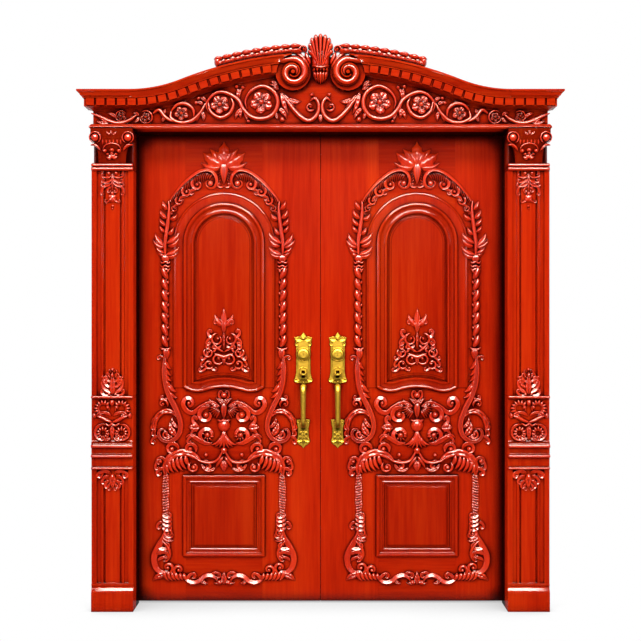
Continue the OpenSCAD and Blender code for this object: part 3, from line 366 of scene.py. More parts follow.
class Carving:
    """Gathers strokes that sink a little into their board, flat or rounded at the back.

    A paired stroke also gets its mirror image across x = 0. Relief is height as a share of the depth.
    """

    SINK = 1.5  # mm below the board's face
    REAR_RELIEF = 0.5
    FRONT_RINGS = [0, 12, 28, 45, 62, 78, 87]  # degrees up an egg
    REAR_RINGS = [-80, -50, -25]
    HOOK_TURN = 4.4  # radians that a hook's tip winds over
    HOOK_R = 0.52  # the tip's first radius as a share of the width

    def __init__(self, depth=17.0, back=0.0):
        self.co, self.rel, self.quads, self.tris = [], [], [], []
        self.count, self.depth, self.back = 0, depth, back

    def tube(self, x, z, f, rel, pair):
        """Joins rings (rows along the stroke, columns round it) into one skin; each end runs to a pole."""
        n, m = x.shape
        ring = np.arange(n * m).reshape(n, m)
        after = np.roll(ring, -1, 1)
        quads = np.stack([ring[:-1], ring[1:], after[1:], after[:-1]], -1).reshape(-1, 4)
        tris = np.concatenate([np.stack([np.full(m, n * m), ring[0], after[0]], -1),
                               np.stack([np.full(m, n * m + 1), after[-1], ring[-1]], -1)])
        co = np.stack([x, z, f], -1)
        co = np.concatenate([co.reshape(-1, 3), co[:1].mean(1), co[-1:].mean(1)])
        rel = np.concatenate([rel.reshape(-1), [rel[0].mean(), rel[-1].mean()]])
        for turn in ((1, -1) if pair else (1,)):
            self.co.append(co * (turn, 1, 1))
            self.rel.append(rel)
            self.quads.append(quads[:, ::turn] + self.count)
            self.tris.append(tris[:, ::turn] + self.count)
            self.count += len(co)

    def strap(self, path, width, h, section=rounded, share=stem, pair=True, base=0.0, m=11):
        """A band along a path: across it the given section, its width and height follow the share."""
        n = len(path)
        t = np.linspace(0, 1, n)[:, None]
        u = np.linspace(-1, 1, m)[None, :]
        d = np.gradient(path, axis=0)
        d /= np.maximum(np.hypot(d[:, 0], d[:, 1]), 1e-9)[:, None]
        k = share(t)
        half = width * k / 2
        rise = h * np.clip(k, 0, 1) ** 0.5 * section(t, u)
        rel = np.clip(rise / self.depth, 0, 1)
        if self.back:
            v = u[:, -2:0:-1]
            rise = np.concatenate([rise, -self.back * np.clip(k, 0, 1) ** 0.5 * rounded(t, v)], 1)
            rel = np.concatenate([rel, self.REAR_RELIEF + 0 * t * v], 1)
            u = np.concatenate([u, v], 1)
        x = path[:, :1] - d[:, 1:] * half * u
        z = path[:, 1:] + d[:, :1] * half * u
        self.tube(x, z, base - self.SINK + rise + 0 * x, rel + 0 * x, pair)

    def vine(self, points, width, h=16, section=rounded, share=stem, pair=True, base=0.0):
        """A band along the smooth curve through the points, with a ring about every 5 mm."""
        p = np.array(points, float)
        size = np.hypot(*np.diff(p, axis=0).T).sum()
        path = spline(points, int(np.clip(size / 5, 10, 70)))
        self.strap(path, width, h, section, share, pair, base)

    def blade(self, p, q, width, bow=0.0, h=15, section=veined, share=tapering, pair=True, base=0.0):
        """A leaf from p to q, bowed to its left by a part of its length."""
        path, _ = bowed(p, q, bow, 16)
        self.strap(path, width, h, section, share, pair, base)

    def curl(self, c, r, start, wind, width, h=16, end=0.3, section=rounded, base=0.0, eye=True):
        """A scroll whose radius shrinks evenly from r to its end share of r, with a bead for its eye."""
        n = int(np.clip(r * abs(wind) / 280, 16, 90))
        t = np.linspace(0, 1, n)
        a = np.radians(start + wind * t)
        q = r * (1 + (end - 1) * t)
        path = np.stack([c[0] + q * np.cos(a), c[1] + q * np.sin(a)], -1)
        self.strap(path, width, h, section, winding, base=base)
        if eye:
            self.bead(c, width * 0.55, h * 1.02, base=base)

    def hook(self, p, q, width, bow=0.2, h=17):
        """A leaf from p to q whose tip winds to the hollow side on a shrinking arc, its outer edge high."""
        path, d = bowed(p, q, bow, 12)
        way = np.sign(bow)
        n = way * np.array([d[1], -d[0]])
        c = np.array(q, float) + n * self.HOOK_R * width
        a = np.linspace(0, self.HOOK_TURN, 13)[1:, None]
        r = self.HOOK_R * width * (1 - 0.1 * a)
        path = np.concatenate([path, c - n * r * np.cos(a) + d * r * np.sin(a)])
        self.strap(path, width, h, lambda t, u: gouged(t, way * u), winding)
        self.bead(c, 0.24 * width, h * 0.8)

    def bead(self, c, r, h=14, tall=1.0, pair=True, base=0.0):
        """Half of an egg, or a whole one where the back is rounded: rings that close towards the top."""
        lift = np.radians((self.REAR_RINGS if self.back else []) + self.FRONT_RINGS)[:, None]
        turn = np.radians(np.linspace(0, -360, 17)[:-1])[None, :]
        x = c[0] + r * np.cos(lift) * np.cos(turn)
        z = c[1] + r * tall * np.cos(lift) * np.sin(turn)
        f = base - self.SINK + np.where(lift < 0, self.back, h + self.SINK) * np.sin(lift) + 0 * x
        rel = np.where(lift < 0, self.REAR_RELIEF, np.clip((f - base) / self.depth, 0, 1))
        self.tube(x, z, f, rel, pair)

    def frill(self, c, r0, r1, a0, a1, count, width, h=12, pair=True, section=sharp, share=tapering):
        """Leaves set like spokes between two radii, at even angles from a0 to a1."""
        for a in np.radians(np.linspace(a0, a1, count)):
            d = np.array([np.cos(a), np.sin(a)])
            self.blade(c + d * r0, c + d * r1, width, 0.06, h, section, share, pair)

    def half(self, way):
        """Keeps what was drawn on one side only, turned to the left or the right."""
        if way < 0:
            self.co = [v * (-1, 1, 1) for v in self.co]
            self.quads = [q[:, ::-1] for q in self.quads]
            self.tris = [q[:, ::-1] for q in self.tris]
        return self

    def piece(self, name, x0, y, body, slot, stands_for=None, finish=relief):
        """Makes the gathered strokes one mesh object, in metres, on the board whose face lies at y."""
        co = np.concatenate(self.co)
        world_co = np.stack([x0 + co[:, 0], y - co[:, 2], co[:, 1]], -1) / MM
        quads, tris = np.concatenate(self.quads), np.concatenate(self.tris)
        faces = len(quads) + len(tris)
        mesh = bpy.data.meshes.new(name)
        mesh.vertices.add(len(world_co))
        mesh.vertices.foreach_set("co", world_co.ravel())
        mesh.loops.add(quads.size + tris.size)
        mesh.loops.foreach_set("vertex_index", np.concatenate([quads.ravel(), tris.ravel()]))
        mesh.polygons.add(faces)
        mesh.polygons.foreach_set("loop_start", np.concatenate([
            np.arange(len(quads)) * 4, quads.size + np.arange(len(tris)) * 3]))
        mesh.polygons.foreach_set("use_smooth", np.ones(faces, bool))
        mesh.attributes.new("relief", "FLOAT", "POINT").data.foreach_set("value", np.concatenate(self.rel))
        mesh.update(calc_edges=True)
        mesh.materials.append(finish)
        ob = bpy.data.objects.new(name, mesh)
        scene.collection.objects.link(ob)
        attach(ob, body)
        if stands_for:
            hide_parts(stands_for)


# The strokes below are drawn from their board's middle line and the floor: points, width, bow and height


def rope(c, x, z0, count, pitch):
    """A twisted cord: slanting strands, one over the other, along a thin core."""
    c.strap(straight((x, z0 - 30), (x, z0 + pitch * (count - 1) + 12), 30), 20, 11)
    for k in range(count):
        z = z0 + pitch * k
        c.blade((x + 11, z + 27), (x - 11, z - 31), 29, 0.1, 25, rounded, strand)
        c.blade((x - 13, z + 14), (x + 1, z - 2), 12, -0.2, 19, rounded)


def upper_relief():
    """Crown leaf, arch with its frill and hooks, side foliage, ropes, brackets and roundels."""
    c = Carving()
    c.blade((0, 1990), (0, 2107), 80, 0, 22, sharp, lobed, False)
    c.blade((2, 1990), (40, 2064), 50, 0.06, 19, sharp)
    c.blade((0, 1988), (98, 2058), 74, -0.04, 22, sharp, lobed)
    c.blade((30, 2008), (66, 2074), 38, 0.1, 19, sharp)
    c.blade((10, 1992), (106, 2012), 34, -0.16, 18, sharp)
    c.blade((0, 2016), (0, 1908), 42, 0, 21, fluted, pair=False)
    c.hook((2, 1902), (26, 1904), 12, -0.2, 13)
    for z in range(1984, 1924, -12):
        c.blade((14, z), (30, z - 16), 8, -0.1, 12, sharp)
    c.vine([(252, 1831), (234, 1858), (212, 1885), (184, 1916), (153, 1943), (120, 1966), (91, 1976),
            (62, 1974), (40, 1954), (32, 1926), (42, 1900), (62, 1892), (80, 1904), (82, 1922), (70, 1930)],
           17, 20, gouged)
    c.bead((62, 1914), 14, 18)
    rim = spline([(246, 1842), (212, 1881), (153, 1936), (92, 1967), (50, 1958)], 24)
    foot = spline([(236, 1826), (205, 1848), (150, 1888), (104, 1914), (70, 1926)], 24)
    for a, b in zip(rim, foot):
        c.blade(a, b, 9, 0.12, 11, sharp)
    for x, z, r in ((122, 1910, 26), (170, 1877, 23), (203, 1835, 19), (224, 1800, 14)):
        c.curl((x, z), r, 75, -340, r * 0.6, 19, 0.4, gouged)
        c.hook((x + r * 0.2, z - r * 1.1), (x + r * 1.2, z - r * 1.25), r * 0.6, 0.2, 14)
    c.vine([(253, 1836), (250, 1800), (254, 1752), (261, 1704), (268, 1652), (269, 1606), (267, 1570)],
           20, 18)
    for p, q, w, bow in (((254, 1795), (280, 1839), 25, -0.16), ((258, 1756), (290, 1798), 27, -0.2),
                         ((262, 1723), (293, 1762), 25, -0.2), ((266, 1692), (292, 1728), 22, -0.2),
                         ((269, 1626), (314, 1690), 34, -0.14), ((270, 1624), (324, 1662), 30, -0.2),
                         ((270, 1598), (310, 1632), 28, -0.2), ((250, 1752), (214, 1780), 26, 0.24),
                         ((260, 1682), (230, 1718), 24, 0.16), ((266, 1642), (203, 1696), 34, 0.16),
                         ((258, 1630), (207, 1670), 27, 0.22), ((268, 1590), (202, 1632), 32, 0.18),
                         ((266, 1584), (207, 1606), 26, 0.22), ((268, 1588), (302, 1606), 24, -0.2)):
        c.blade(p, q, w, bow, 21, sharp)
    c.blade((267, 1590), (267, 1546), 44, 0, 19, fluted)
    for z in (1558, 1540, 1526):
        c.vine([(245, z + 2), (254, z - 7), (267, z), (280, z - 8), (290, z + 1)], 13, 18)
    rope(c, 266, 1198, 7, 51.8)
    c.vine([(242, 1166), (254, 1158), (278, 1158), (292, 1166)], 14, 17)
    c.blade((264, 1164), (262, 1106), 38, 0, 20, fluted)
    c.vine([(266, 1150), (272, 1103), (271, 1045), (264, 988), (246, 936), (222, 889), (202, 837), (198, 797),
            (212, 760), (246, 737), (282, 744), (298, 770), (288, 792), (266, 790)], 34, 20, fluted, winding)
    for p, q, w, bow in (((266, 1104), (238, 1066), 26, 0.2), ((266, 1076), (237, 1036), 24, 0.2),
                         ((264, 1050), (236, 1010), 24, 0.2), ((260, 1022), (234, 984), 22, 0.2),
                         ((254, 1000), (214, 962), 32, 0.16), ((246, 966), (210, 936), 24, 0.2)):
        c.blade(p, q, w, bow, 19, sharp)
    for p, q, w, bow in (((274, 1112), (298, 1124), 13, 0.2), ((258, 940), (284, 930), 15, -0.24),
                         ((302, 846), (326, 826), 14, 0.2), ((312, 818), (330, 800), 14, 0.2),
                         ((306, 790), (328, 772), 14, 0.2), ((296, 758), (330, 738), 16, 0.2)):
        c.hook(p, q, w, bow, 13)
    c.curl((278, 908), 24, 220, -320, 15, 18)
    c.vine([(196, 836), (230, 868), (270, 874), (304, 850), (318, 806), (314, 770)], 28, 20, veined)
    c.blade((216, 764), (246, 828), 34, -0.15, 21)
    c.blade((206, 800), (236, 850), 22, -0.2, 18)
    c.blade((228, 752), (272, 800), 20, -0.2, 18)
    c.curl((262, 770), 22, 200, 320, 14, 18)
    return c


def panel_relief():
    """A pyramid of rings and leaves with a lily on top."""
    c = Carving(14)
    c.blade((0, 1258), (0, 1348), 32, 0, 17, sharp, pair=False)
    c.blade((2, 1264), (41, 1320), 30, -0.14, 16, sharp)
    c.hook((2, 1264), (38, 1288), 14, 0.24, 14)
    c.blade((0, 1290), (0, 1226), 28, 0, 16, fluted, pair=False)
    for x, z, r, a, way in ((31, 1203, 27, 100, -1), (27, 1113, 25, 200, 1), (70, 1142, 22, 60, -1),
                            (68, 1088, 20, 200, 1)):
        c.curl((x, z), r, a, way * 340, 13, 15, 0.62, eye=False)
        c.bead((x - 4, z + 4), 7, 11)
    for p, q, w, bow in (((44, 1212), (72, 1236), 17, -0.25), ((50, 1200), (78, 1188), 16, 0.3),
                         ((50, 1186), (78, 1170), 15, 0.25), ((82, 1080), (106, 1058), 14, -0.2),
                         ((56, 1078), (40, 1062), 13, 0.2), ((84, 1156), (92, 1112), 15, -0.25),
                         ((12, 1180), (42, 1164), 14, -0.2), ((52, 1144), (40, 1166), 13, 0.2),
                         ((84, 1106), (104, 1086), 13, 0.2)):
        c.hook(p, q, w, bow, 14)
    c.vine([(54, 1196), (36, 1170), (14, 1152), (0, 1146)], 13, 15)
    c.vine([(-44, 1138), (-18, 1128), (0, 1122), (18, 1128), (44, 1138)], 20, 17, pair=False)
    c.blade((0, 1134), (0, 1082), 20, 0, 15, pair=False)
    c.blade((0, 1236), (0, 1150), 15, 0, 14, pair=False)
    return c


def cartouche_relief():
    """Scrolls and leaves round an urn."""
    c = Carving()
    c.bead((0, 948), 15, 22, 0.9, pair=False)
    c.hook((6, 930), (20, 962), 13, -0.24, 18)
    for p, q, w, bow in (((2, 905), (20, 938), 16, 0.1), ((6, 900), (40, 934), 18, 0.14),
                         ((18, 898), (66, 934), 19, -0.2), ((60, 896), (82, 922), 16, -0.2)):
        c.blade(p, q, w, bow, 18)
    c.vine([(18, 896), (57, 914), (103, 894), (138, 868), (167, 874), (187, 904), (176, 932), (152, 932),
            (142, 910), (156, 896), (168, 906)], 25, 20, gouged)
    c.bead((160, 912), 9, 17)
    c.curl((82, 857), 38, 125, -350, 24, 21, 0.42, gouged)
    c.frill((8, 896), 18, 66, -64, -8, 6, 15, 17)
    c.blade((0, 914), (0, 836), 32, 0, 20, fluted, pair=False)
    c.bead((0, 810), 28, 26, 1.04, pair=False)
    c.vine([(-30, 836), (-14, 830), (0, 834), (14, 830), (30, 836)], 15, 24, pair=False)
    c.curl((76, 766), 42, 232, 350, 24, 21, 0.45, gouged)
    c.frill((76, 766), 10, 33, 20, 300, 9, 13, 16)
    c.blade((112, 800), (164, 802), 46, 0, 21, share=lobed)
    c.hook((118, 812), (142, 840), 20, -0.22, 18)
    c.hook((120, 788), (148, 772), 17, 0.22, 18)
    c.vine([(54, 726), (92, 731), (124, 750), (152, 764), (174, 752)], 23, 19, gouged)
    c.hook((140, 758), (166, 738), 15, 0.2, 16)
    for p, q, w, bow in (((0, 788), (0, 698), 28, 0), ((6, 784), (26, 702), 20, -0.1),
                         ((8, 772), (46, 710), 20, -0.14), ((14, 760), (64, 722), 17, -0.2)):
        c.blade(p, q, w, bow, 20, rounded, pair=p[0] > 0)
    c.bead((0, 696), 15, 20, pair=False)
    return c


def lower_relief():
    """Festoon over the lower panel, strands down its sides, scrolls and leaves under it."""
    c = Carving()
    c.vine([(268, 576), (266, 626), (246, 662), (206, 683), (160, 682), (126, 664), (106, 644)],
           40, 21, veined)
    c.vine([(140, 672), (108, 648), (66, 640), (32, 650), (12, 680), (0, 706)], 15, 19)
    c.curl((154, 702), 29, 220, -340, 19, 19, 0.35, gouged)
    c.curl((238, 702), 31, 200, -340, 20, 19, 0.35, gouged)
    c.curl((291, 645), 25, 240, -340, 17, 18, 0.35, gouged)
    for p, q in (((258, 636), (246, 588)), ((246, 652), (226, 592)), ((230, 662), (204, 594)),
                 ((212, 670), (182, 598)), ((194, 674), (166, 606)), ((174, 676), (150, 622))):
        c.blade(p, q, 23, 0.16, 20, rounded)
    c.curl((138, 620), 25, 60, -340, 16, 19, 0.4)
    c.bead((138, 618), 12, 21)
    c.bead((82, 675), 9, 17)
    c.vine([(104, 634), (88, 612), (62, 604), (38, 616)], 20, 17, veined)
    c.hook((100, 646), (64, 628), 17, -0.2, 16)
    c.blade((2, 668), (38, 612), 26, 0.06, 20, sharp)
    c.blade((0, 650), (0, 596), 40, 0, 18, pair=False)
    c.bead((0, 690), 11, 18, pair=False)
    c.hook((266, 610), (304, 598), 20, 0.2, 17)
    c.hook((282, 656), (312, 616), 16, 0.2, 17)
    hanging = spline([(266, 592), (267, 500), (266, 396)], 110)
    c.strap(hanging, 35, 18, grained, lambda t: stem(t) ** 0.5, m=17)
    for z in (404, 386, 366, 346):
        c.hook((280, z + 2), (250, z - 14), 18, 0.2, 15)
    c.hook((276, 366), (304, 350), 17, 0.24, 17)
    c.curl((252, 318), 17, 60, 320, 13, 18)
    c.blade((280, 306), (228, 284), 28, 0.15, 18)
    c.hook((272, 332), (246, 300), 18, 0.2, 18)
    c.vine([(262, 350), (272, 304), (296, 262), (318, 212), (312, 164), (284, 138), (254, 146)],
           32, 20, gouged)
    c.curl((256, 160), 27, -80, -330, 18, 18, 0.35)
    c.vine([(284, 286), (258, 258), (246, 222), (256, 190)], 16, 17)
    for p, q, w, bow in (((302, 256), (258, 250), 22, 0.18), ((310, 214), (262, 228), 22, -0.18),
                         ((304, 186), (266, 206), 17, -0.18)):
        c.hook(p, q, w, bow, 18)
    c.curl((206, 150), 26, 270, 340, 18, 20, 0.3)
    for k in range(6):
        c.blade((272 - 18 * k, 150 - 3 * k), (244 - 16 * k, 98 + k), 22, 0.16, 21, rounded)
    c.blade((268, 130), (326, 98), 34, 0.12, 19)
    c.vine([(182, 112), (150, 94), (118, 98), (90, 120), (60, 126), (36, 112), (30, 96)], 22, 20, gouged)
    c.hook((166, 100), (142, 132), 19, -0.2, 17)
    c.blade((104, 108), (70, 90), 22, 0.2, 17)
    c.hook((60, 124), (22, 132), 17, -0.2, 17)
    c.bead((21, 94), 11, 19)
    c.blade((0, 84), (0, 144), 32, 0, 18, pair=False)
    c.blade((4, 104), (50, 92), 20, -0.16, 17)
    return c


for side, way in SIDES:
    for draw, piece, face, carving in ((upper_relief, "_upper_relief", LEAF_FACE, "_upper_carving"),
                                       (panel_relief, "_panel_relief", PANEL_FACE, "_panel_ornament"),
                                       (cartouche_relief, "_scroll_relief", LEAF_FACE, "_cartouche"),
                                       (lower_relief, "_lower_relief", LEAF_FACE, "_lower_carving")):
        draw().piece(side + piece, LEAF_X * way, face, side + "_leaf", "carved_wood", side + carving)


def pilaster_relief():
    """A hanging spray under the capital, one standing on the dado block and one hanging below it."""
    c = Carving(13)
    c.blade((0, 1944), (0, 1850), 14, 0, 14, pair=False)
    c.bead((16, 1942), 8, 15)
    for p, q, w, bow in (((3, 1936), (44, 1928), 10, -0.22), ((3, 1922), (40, 1902), 12, -0.22),
                         ((3, 1906), (46, 1886), 11, -0.22), ((6, 1896), (50, 1852), 11, 0.2),
                         ((3, 1880), (20, 1864), 11, 0.2), ((8, 1846), (26, 1814), 10, -0.24)):
        c.hook(p, q, w, bow, 15)
    for z, r in ((1852, 8), (1832, 16), (1796, 6), (1784, 4)):
        c.bead((0, z), r, 18, 1.15, pair=False)
    c.bead((9, 1838), 9, 16)
    c.bead((8, 1824), 8, 16)
    c.blade((0, 958), (0, 1060), 30, 0, 16, pair=False)
    c.blade((0, 1034), (0, 1064), 13, 0, 19, rounded, pair=False)
    c.bead((0, 1072), 7, 13, pair=False)
    for p, q, w, bow in (((3, 970), (44, 1012), 20, -0.2), ((3, 992), (38, 1030), 17, -0.2),
                         ((3, 1014), (26, 1046), 14, -0.2), ((4, 962), (48, 968), 17, -0.24),
                         ((3, 1034), (18, 1064), 10, -0.2)):
        c.hook(p, q, w, bow, 15)
    c.bead((45, 1038), 6, 15)
    c.bead((14, 962), 8, 14)
    c.blade((0, 604), (0, 540), 34, 0, 14, pair=False)
    c.bead((0, 594), 11, 19, 1.6, pair=False)
    for p, q, w, bow in (((6, 614), (62, 610), 20, 0.16), ((10, 600), (46, 576), 16, 0.2),
                         ((8, 580), (32, 556), 16, 0.2), ((5, 566), (20, 544), 13, 0.2)):
        c.hook(p, q, w, bow, 15)
    return c


def heart_relief():
    """Two fluted fans over two fluted scrolls, on the dado block."""
    c = Carving(13)
    c.curl((40, 897), 26, 215, -330, 10, 12, 0.7, gouged, eye=False)
    c.frill((40, 897), 20, 44, -70, 128, 9, 13, 15, section=rounded)
    c.bead((0, 926), 11, 17, 1.3, pair=False)
    c.bead((20, 905), 8, 14)
    c.bead((78, 868), 9, 16, 1.4)
    c.vine([(0, 838), (26, 848), (48, 860), (72, 868)], 17, 16)
    c.hook((4, 864), (48, 880), 16, 0.15, 15)
    c.vine([(-34, 836), (-14, 824), (0, 832), (14, 824), (34, 836)], 12, 16, pair=False)
    c.curl((41, 790), 40, 115, -340, 15, 16, 0.5, gouged, eye=False)
    c.frill((41, 790), 10, 34, -80, 250, 11, 12, 15, section=rounded)
    c.blade((0, 826), (0, 754), 26, 0, 15, pair=False)
    c.blade((6, 772), (44, 756), 16, -0.1, 15)
    return c


def capital_relief():
    """Bosses, leaf ends, flutes, buds and a lily on the capital, and even half-round strips under it and
    on the dado block."""
    c = Carving(14)
    c.bead((73, 2096), 17, 15, base=16)
    c.curl((73, 2096), 25, 250, -330, 8, 9, 0.94, eye=False, base=15)
    c.vine([(50, 2040), (60, 2054), (76, 2066), (94, 2064)], 13, 18)
    c.blade((0, 2126), (0, 2108), 14, 0, 10, pair=False, base=15)
    c.blade((2, 2110), (22, 2126), 11, -0.2, 9, base=15)
    for x in (8, 24, 40):
        c.blade((x, 2114), (x, 2064), 15, 0, 8, rounded, base=7)
    c.vine([(-42, 2040), (-30, 2062), (0, 2072), (30, 2062), (42, 2040)], 8, 10, pair=False, base=3)
    for x, z, r in ((0, 2042, 11), (31, 2039, 10), (0, 2027, 8), (18, 2024, 7)):
        c.bead((x, z), r, 17, 0.8, pair=x > 0)
    c.frill((0, 2000), 6, 30, 30, 150, 5, 15, 8, pair=False, section=rounded)
    for z, w, f in ((1977, 14, -5), (1960, 15, -4), (689, 13, 4), (733, 16, 3), (635, 10, -1), (950, 12, 0)):
        c.strap(straight((-92, z), (92, z), 24), w, 9, rounded, even, False, f)
    return c


def frieze_relief():
    """A running vine that rings five flowers on each side of two facing scrolls."""
    c = Carving(20)
    fuller = 1.3
    c.vine([(496, 2212), (506, 2248), (480, 2286), (442, 2302), (399, 2290), (363, 2264), (345, 2230),
            (313, 2195), (263, 2182), (212, 2201), (189, 2252), (206, 2302), (258, 2328), (310, 2304),
            (333, 2262), (326, 2226)], 20, 22)
    c.vine([(500, 2262), (486, 2214), (445, 2188), (404, 2206), (386, 2246), (398, 2278)], 18, 20)
    c.vine([(660, 2218), (662, 2186), (622, 2166), (572, 2173), (534, 2208), (508, 2254)], 19, 21)
    c.vine([(560, 2190), (566, 2226), (596, 2249), (634, 2246), (662, 2218)], 17, 20)
    c.vine([(744, 2206), (716, 2222), (688, 2190), (650, 2168)], 18, 20)
    c.vine([(1016, 2208), (982, 2194), (924, 2168), (881, 2164), (842, 2180), (812, 2204)], 19, 20)
    for x, z, r in ((262, 2256, 54), (446, 2246, 46), (616, 2207, 34), (774, 2190, 24), (884, 2194, 20)):
        c.frill((x, z), r * 0.12, r * 0.92, 54, 342, 5, r * 0.86, 20, section=veined, share=petal)
        c.frill((x, z), r * 0.1, r * 0.6, 18, 306, 5, r * 0.44, 25, section=veined, share=petal)
        c.bead((x, z), r * 0.26, 28)
    c.curl((774, 2190), 29, 40, 320, 9, 16, 0.9, eye=False)
    c.curl((884, 2194), 24, 150, -320, 8, 16, 0.9, eye=False)
    c.vine([(172, 2296), (148, 2262), (121, 2226), (90, 2193), (58, 2174), (28, 2186), (10, 2216), (9, 2250),
            (26, 2274), (46, 2262)], 21, 22)
    c.curl((45, 2236), 20, -160, 330, 11, 17, 0.4)
    c.bead((170, 2180), 11, 18)
    for p, q, w, bow in (((172, 2300), (140, 2202), 20, 0.06), ((160, 2290), (108, 2236), 20, 0.1),
                         ((140, 2272), (84, 2262), 20, 0.14), ((186, 2230), (150, 2180), 18, -0.12),
                         ((196, 2212), (186, 2178), 14, 0.1), ((188, 2330), (226, 2350), 13, 0.1),
                         ((186, 2322), (228, 2334), 13, 0.1), ((184, 2312), (222, 2318), 12, 0.1),
                         ((344, 2236), (352, 2184), 18, 0.14), ((342, 2226), (378, 2180), 18, 0.16),
                         ((338, 2214), (326, 2172), 14, -0.1), ((362, 2272), (340, 2320), 16, -0.2),
                         ((372, 2280), (372, 2322), 14, 0.16), ((526, 2214), (520, 2172), 16, -0.12),
                         ((534, 2206), (548, 2168), 15, 0.14), ((508, 2258), (540, 2274), 16, 0.2),
                         ((520, 2244), (556, 2252), 15, 0.2), ((688, 2190), (700, 2166), 13, 0.14),
                         ((700, 2206), (690, 2230), 13, 0.16), ((806, 2196), (836, 2208), 12, 0.2),
                         ((806, 2190), (832, 2168), 12, -0.2), ((930, 2172), (984, 2206), 20, -0.14),
                         ((936, 2168), (996, 2178), 18, -0.16), ((906, 2188), (948, 2208), 14, 0.12),
                         ((0, 2204), (0, 2164), 18, 0)):
        c.blade(p, q, w * fuller, bow, 19, pair=p[0] > 0)
    for x, z in ((372, 2326), (344, 2322), (540, 2274), (552, 2254), (320, 2172), (38, 2290)):
        c.bead((x, z), 8, 15)
    return c


def crest_relief():
    """A fluted shell on a gadrooned calyx, with a curl on each side."""
    c = Carving(46, 14)

    def flute(t):
        """Widens evenly from 0.22 to full, then closes in a quarter circle over the last 0.16."""
        return (0.22 + 0.78 * t) * np.sqrt(np.clip(1.002 - np.clip((t - 0.84) / 0.16, 0, 1) ** 2, 0.002, 1))

    c.bead((0, 2462), 44, 26, 1.7, pair=False)
    for x, z, w in ((0, 2557, 30), (22, 2553, 30), (40, 2539, 29), (51, 2513, 26), (55, 2482, 20)):
        c.strap(spline([(x * 0.1, 2402), (x * 0.5, 2452), (x, z)], 44), w, 52, rounded, flute, x > 0, m=13)
    c.vine([(-36, 2416), (-18, 2406), (0, 2403), (18, 2406), (36, 2416)], 18, 56, pair=False)
    for x in (0, 14, 28):
        c.bead((x, 2394), 8, 54)
    for x, w in ((0, 22), (14, 20), (28, 18)):
        c.blade((x, 2392), (x * 0.62, 2336 + x * 0.4), w, 0, 52 - x * 0.3, rounded, pair=x > 0)
    c.curl((74, 2486), 19, -60, 330, 16, 44, 0.4)
    c.bead((98, 2474), 14, 40)
    c.vine([(112, 2470), (88, 2456), (68, 2434), (50, 2404)], 26, 46)
    c.vine([(66, 2476), (58, 2450), (46, 2424)], 24, 40)
    c.vine([(124, 2462), (100, 2446), (76, 2420)], 16, 38)
    return c


def volute_relief():
    """The crown's upper moulding runs on as a round bar that winds in to its eye, shrinking evenly."""
    c = Carving(50)

    def closing(t):
        """Full soon after its start, then narrower by 0.42 along the way, and closed at the eye."""
        return (1.06 - 0.42 * t) * np.minimum(1, 5 * t + 0.2) * np.sqrt(np.clip(1.02 - t ** 16, 0.02, 1))

    x = np.linspace(236, 124, 24)
    lead = np.stack([x, SWELL_Z + np.sqrt(BAR_R ** 2 - x ** 2)], -1)
    t = np.linspace(0, 1, 140)
    a = np.radians(90 + 500 * t)
    r = 58 - 44 * t
    wind = np.stack([VOLUTE_EYE[0] + r * np.cos(a), VOLUTE_EYE[1] + r * np.sin(a)], -1)
    c.strap(np.concatenate([lead, wind]), 40, 44, rounded, closing, pair=False, base=14, m=21)
    return c


def garland_relief():
    """Two rows of laurel leaves on a stem, along an arc over the crown."""
    c = Carving(34, 12)

    def at(x, out):
        """The point over x on the seat's circle, moved outwards along its radius."""
        r = LAUREL_R + out
        return np.array([x * r / LAUREL_R, SWELL_Z + r * math.sqrt(1 - (x / LAUREL_R) ** 2)])

    middle = [at(x, 26) for x in (88, 180, 270, 360, 450)]
    c.vine(middle, 44, 20, share=lambda t: stem(t) ** 0.3, pair=False)
    for k in range(9):
        x = 78 + 42 * k
        c.blade(at(min(x + 52, 458), 43), at(x, 43), 27, 0.1, 43, rounded, pair=False)
        c.blade(at(min(x + 52, 456), 12), at(x - 2, 12), 24, -0.1, 42, rounded, pair=False)
    c.bead(at(446, 26), 17, 40, 1.3, pair=False)
    return c


for side, way in SIDES:
    x = PILASTER_X * way
    carvings = side + "_pilaster_carvings"
    pilaster_relief().piece(side + "_spray_relief", x, SHAFT_FACE, "frame", "carved_wood", carvings)
    heart_relief().piece(side + "_heart_relief", x, DADO_FACE, "frame", "carved_wood", carvings)
    capital_relief().piece(side + "_capital_relief", x, CAPITAL_FACE, "frame", "carved_wood")
    volute_relief().half(way).piece(side + "_volute_relief", 0, PEDIMENT_FACE, "frame", "carved_wood")
    garland_relief().half(way).piece(side + "_garland_relief", 0, GARLAND_FACE, "frame", "carved_wood",
                                     side + "_garland")
frieze_relief().piece("frieze_relief", 0, PEDIMENT_FACE, "frame", "carved_wood", "frieze_carving")
crest_relief().piece("crest_relief", 0, PEDIMENT_FACE, "frame", "carved_wood", "crest_shell")


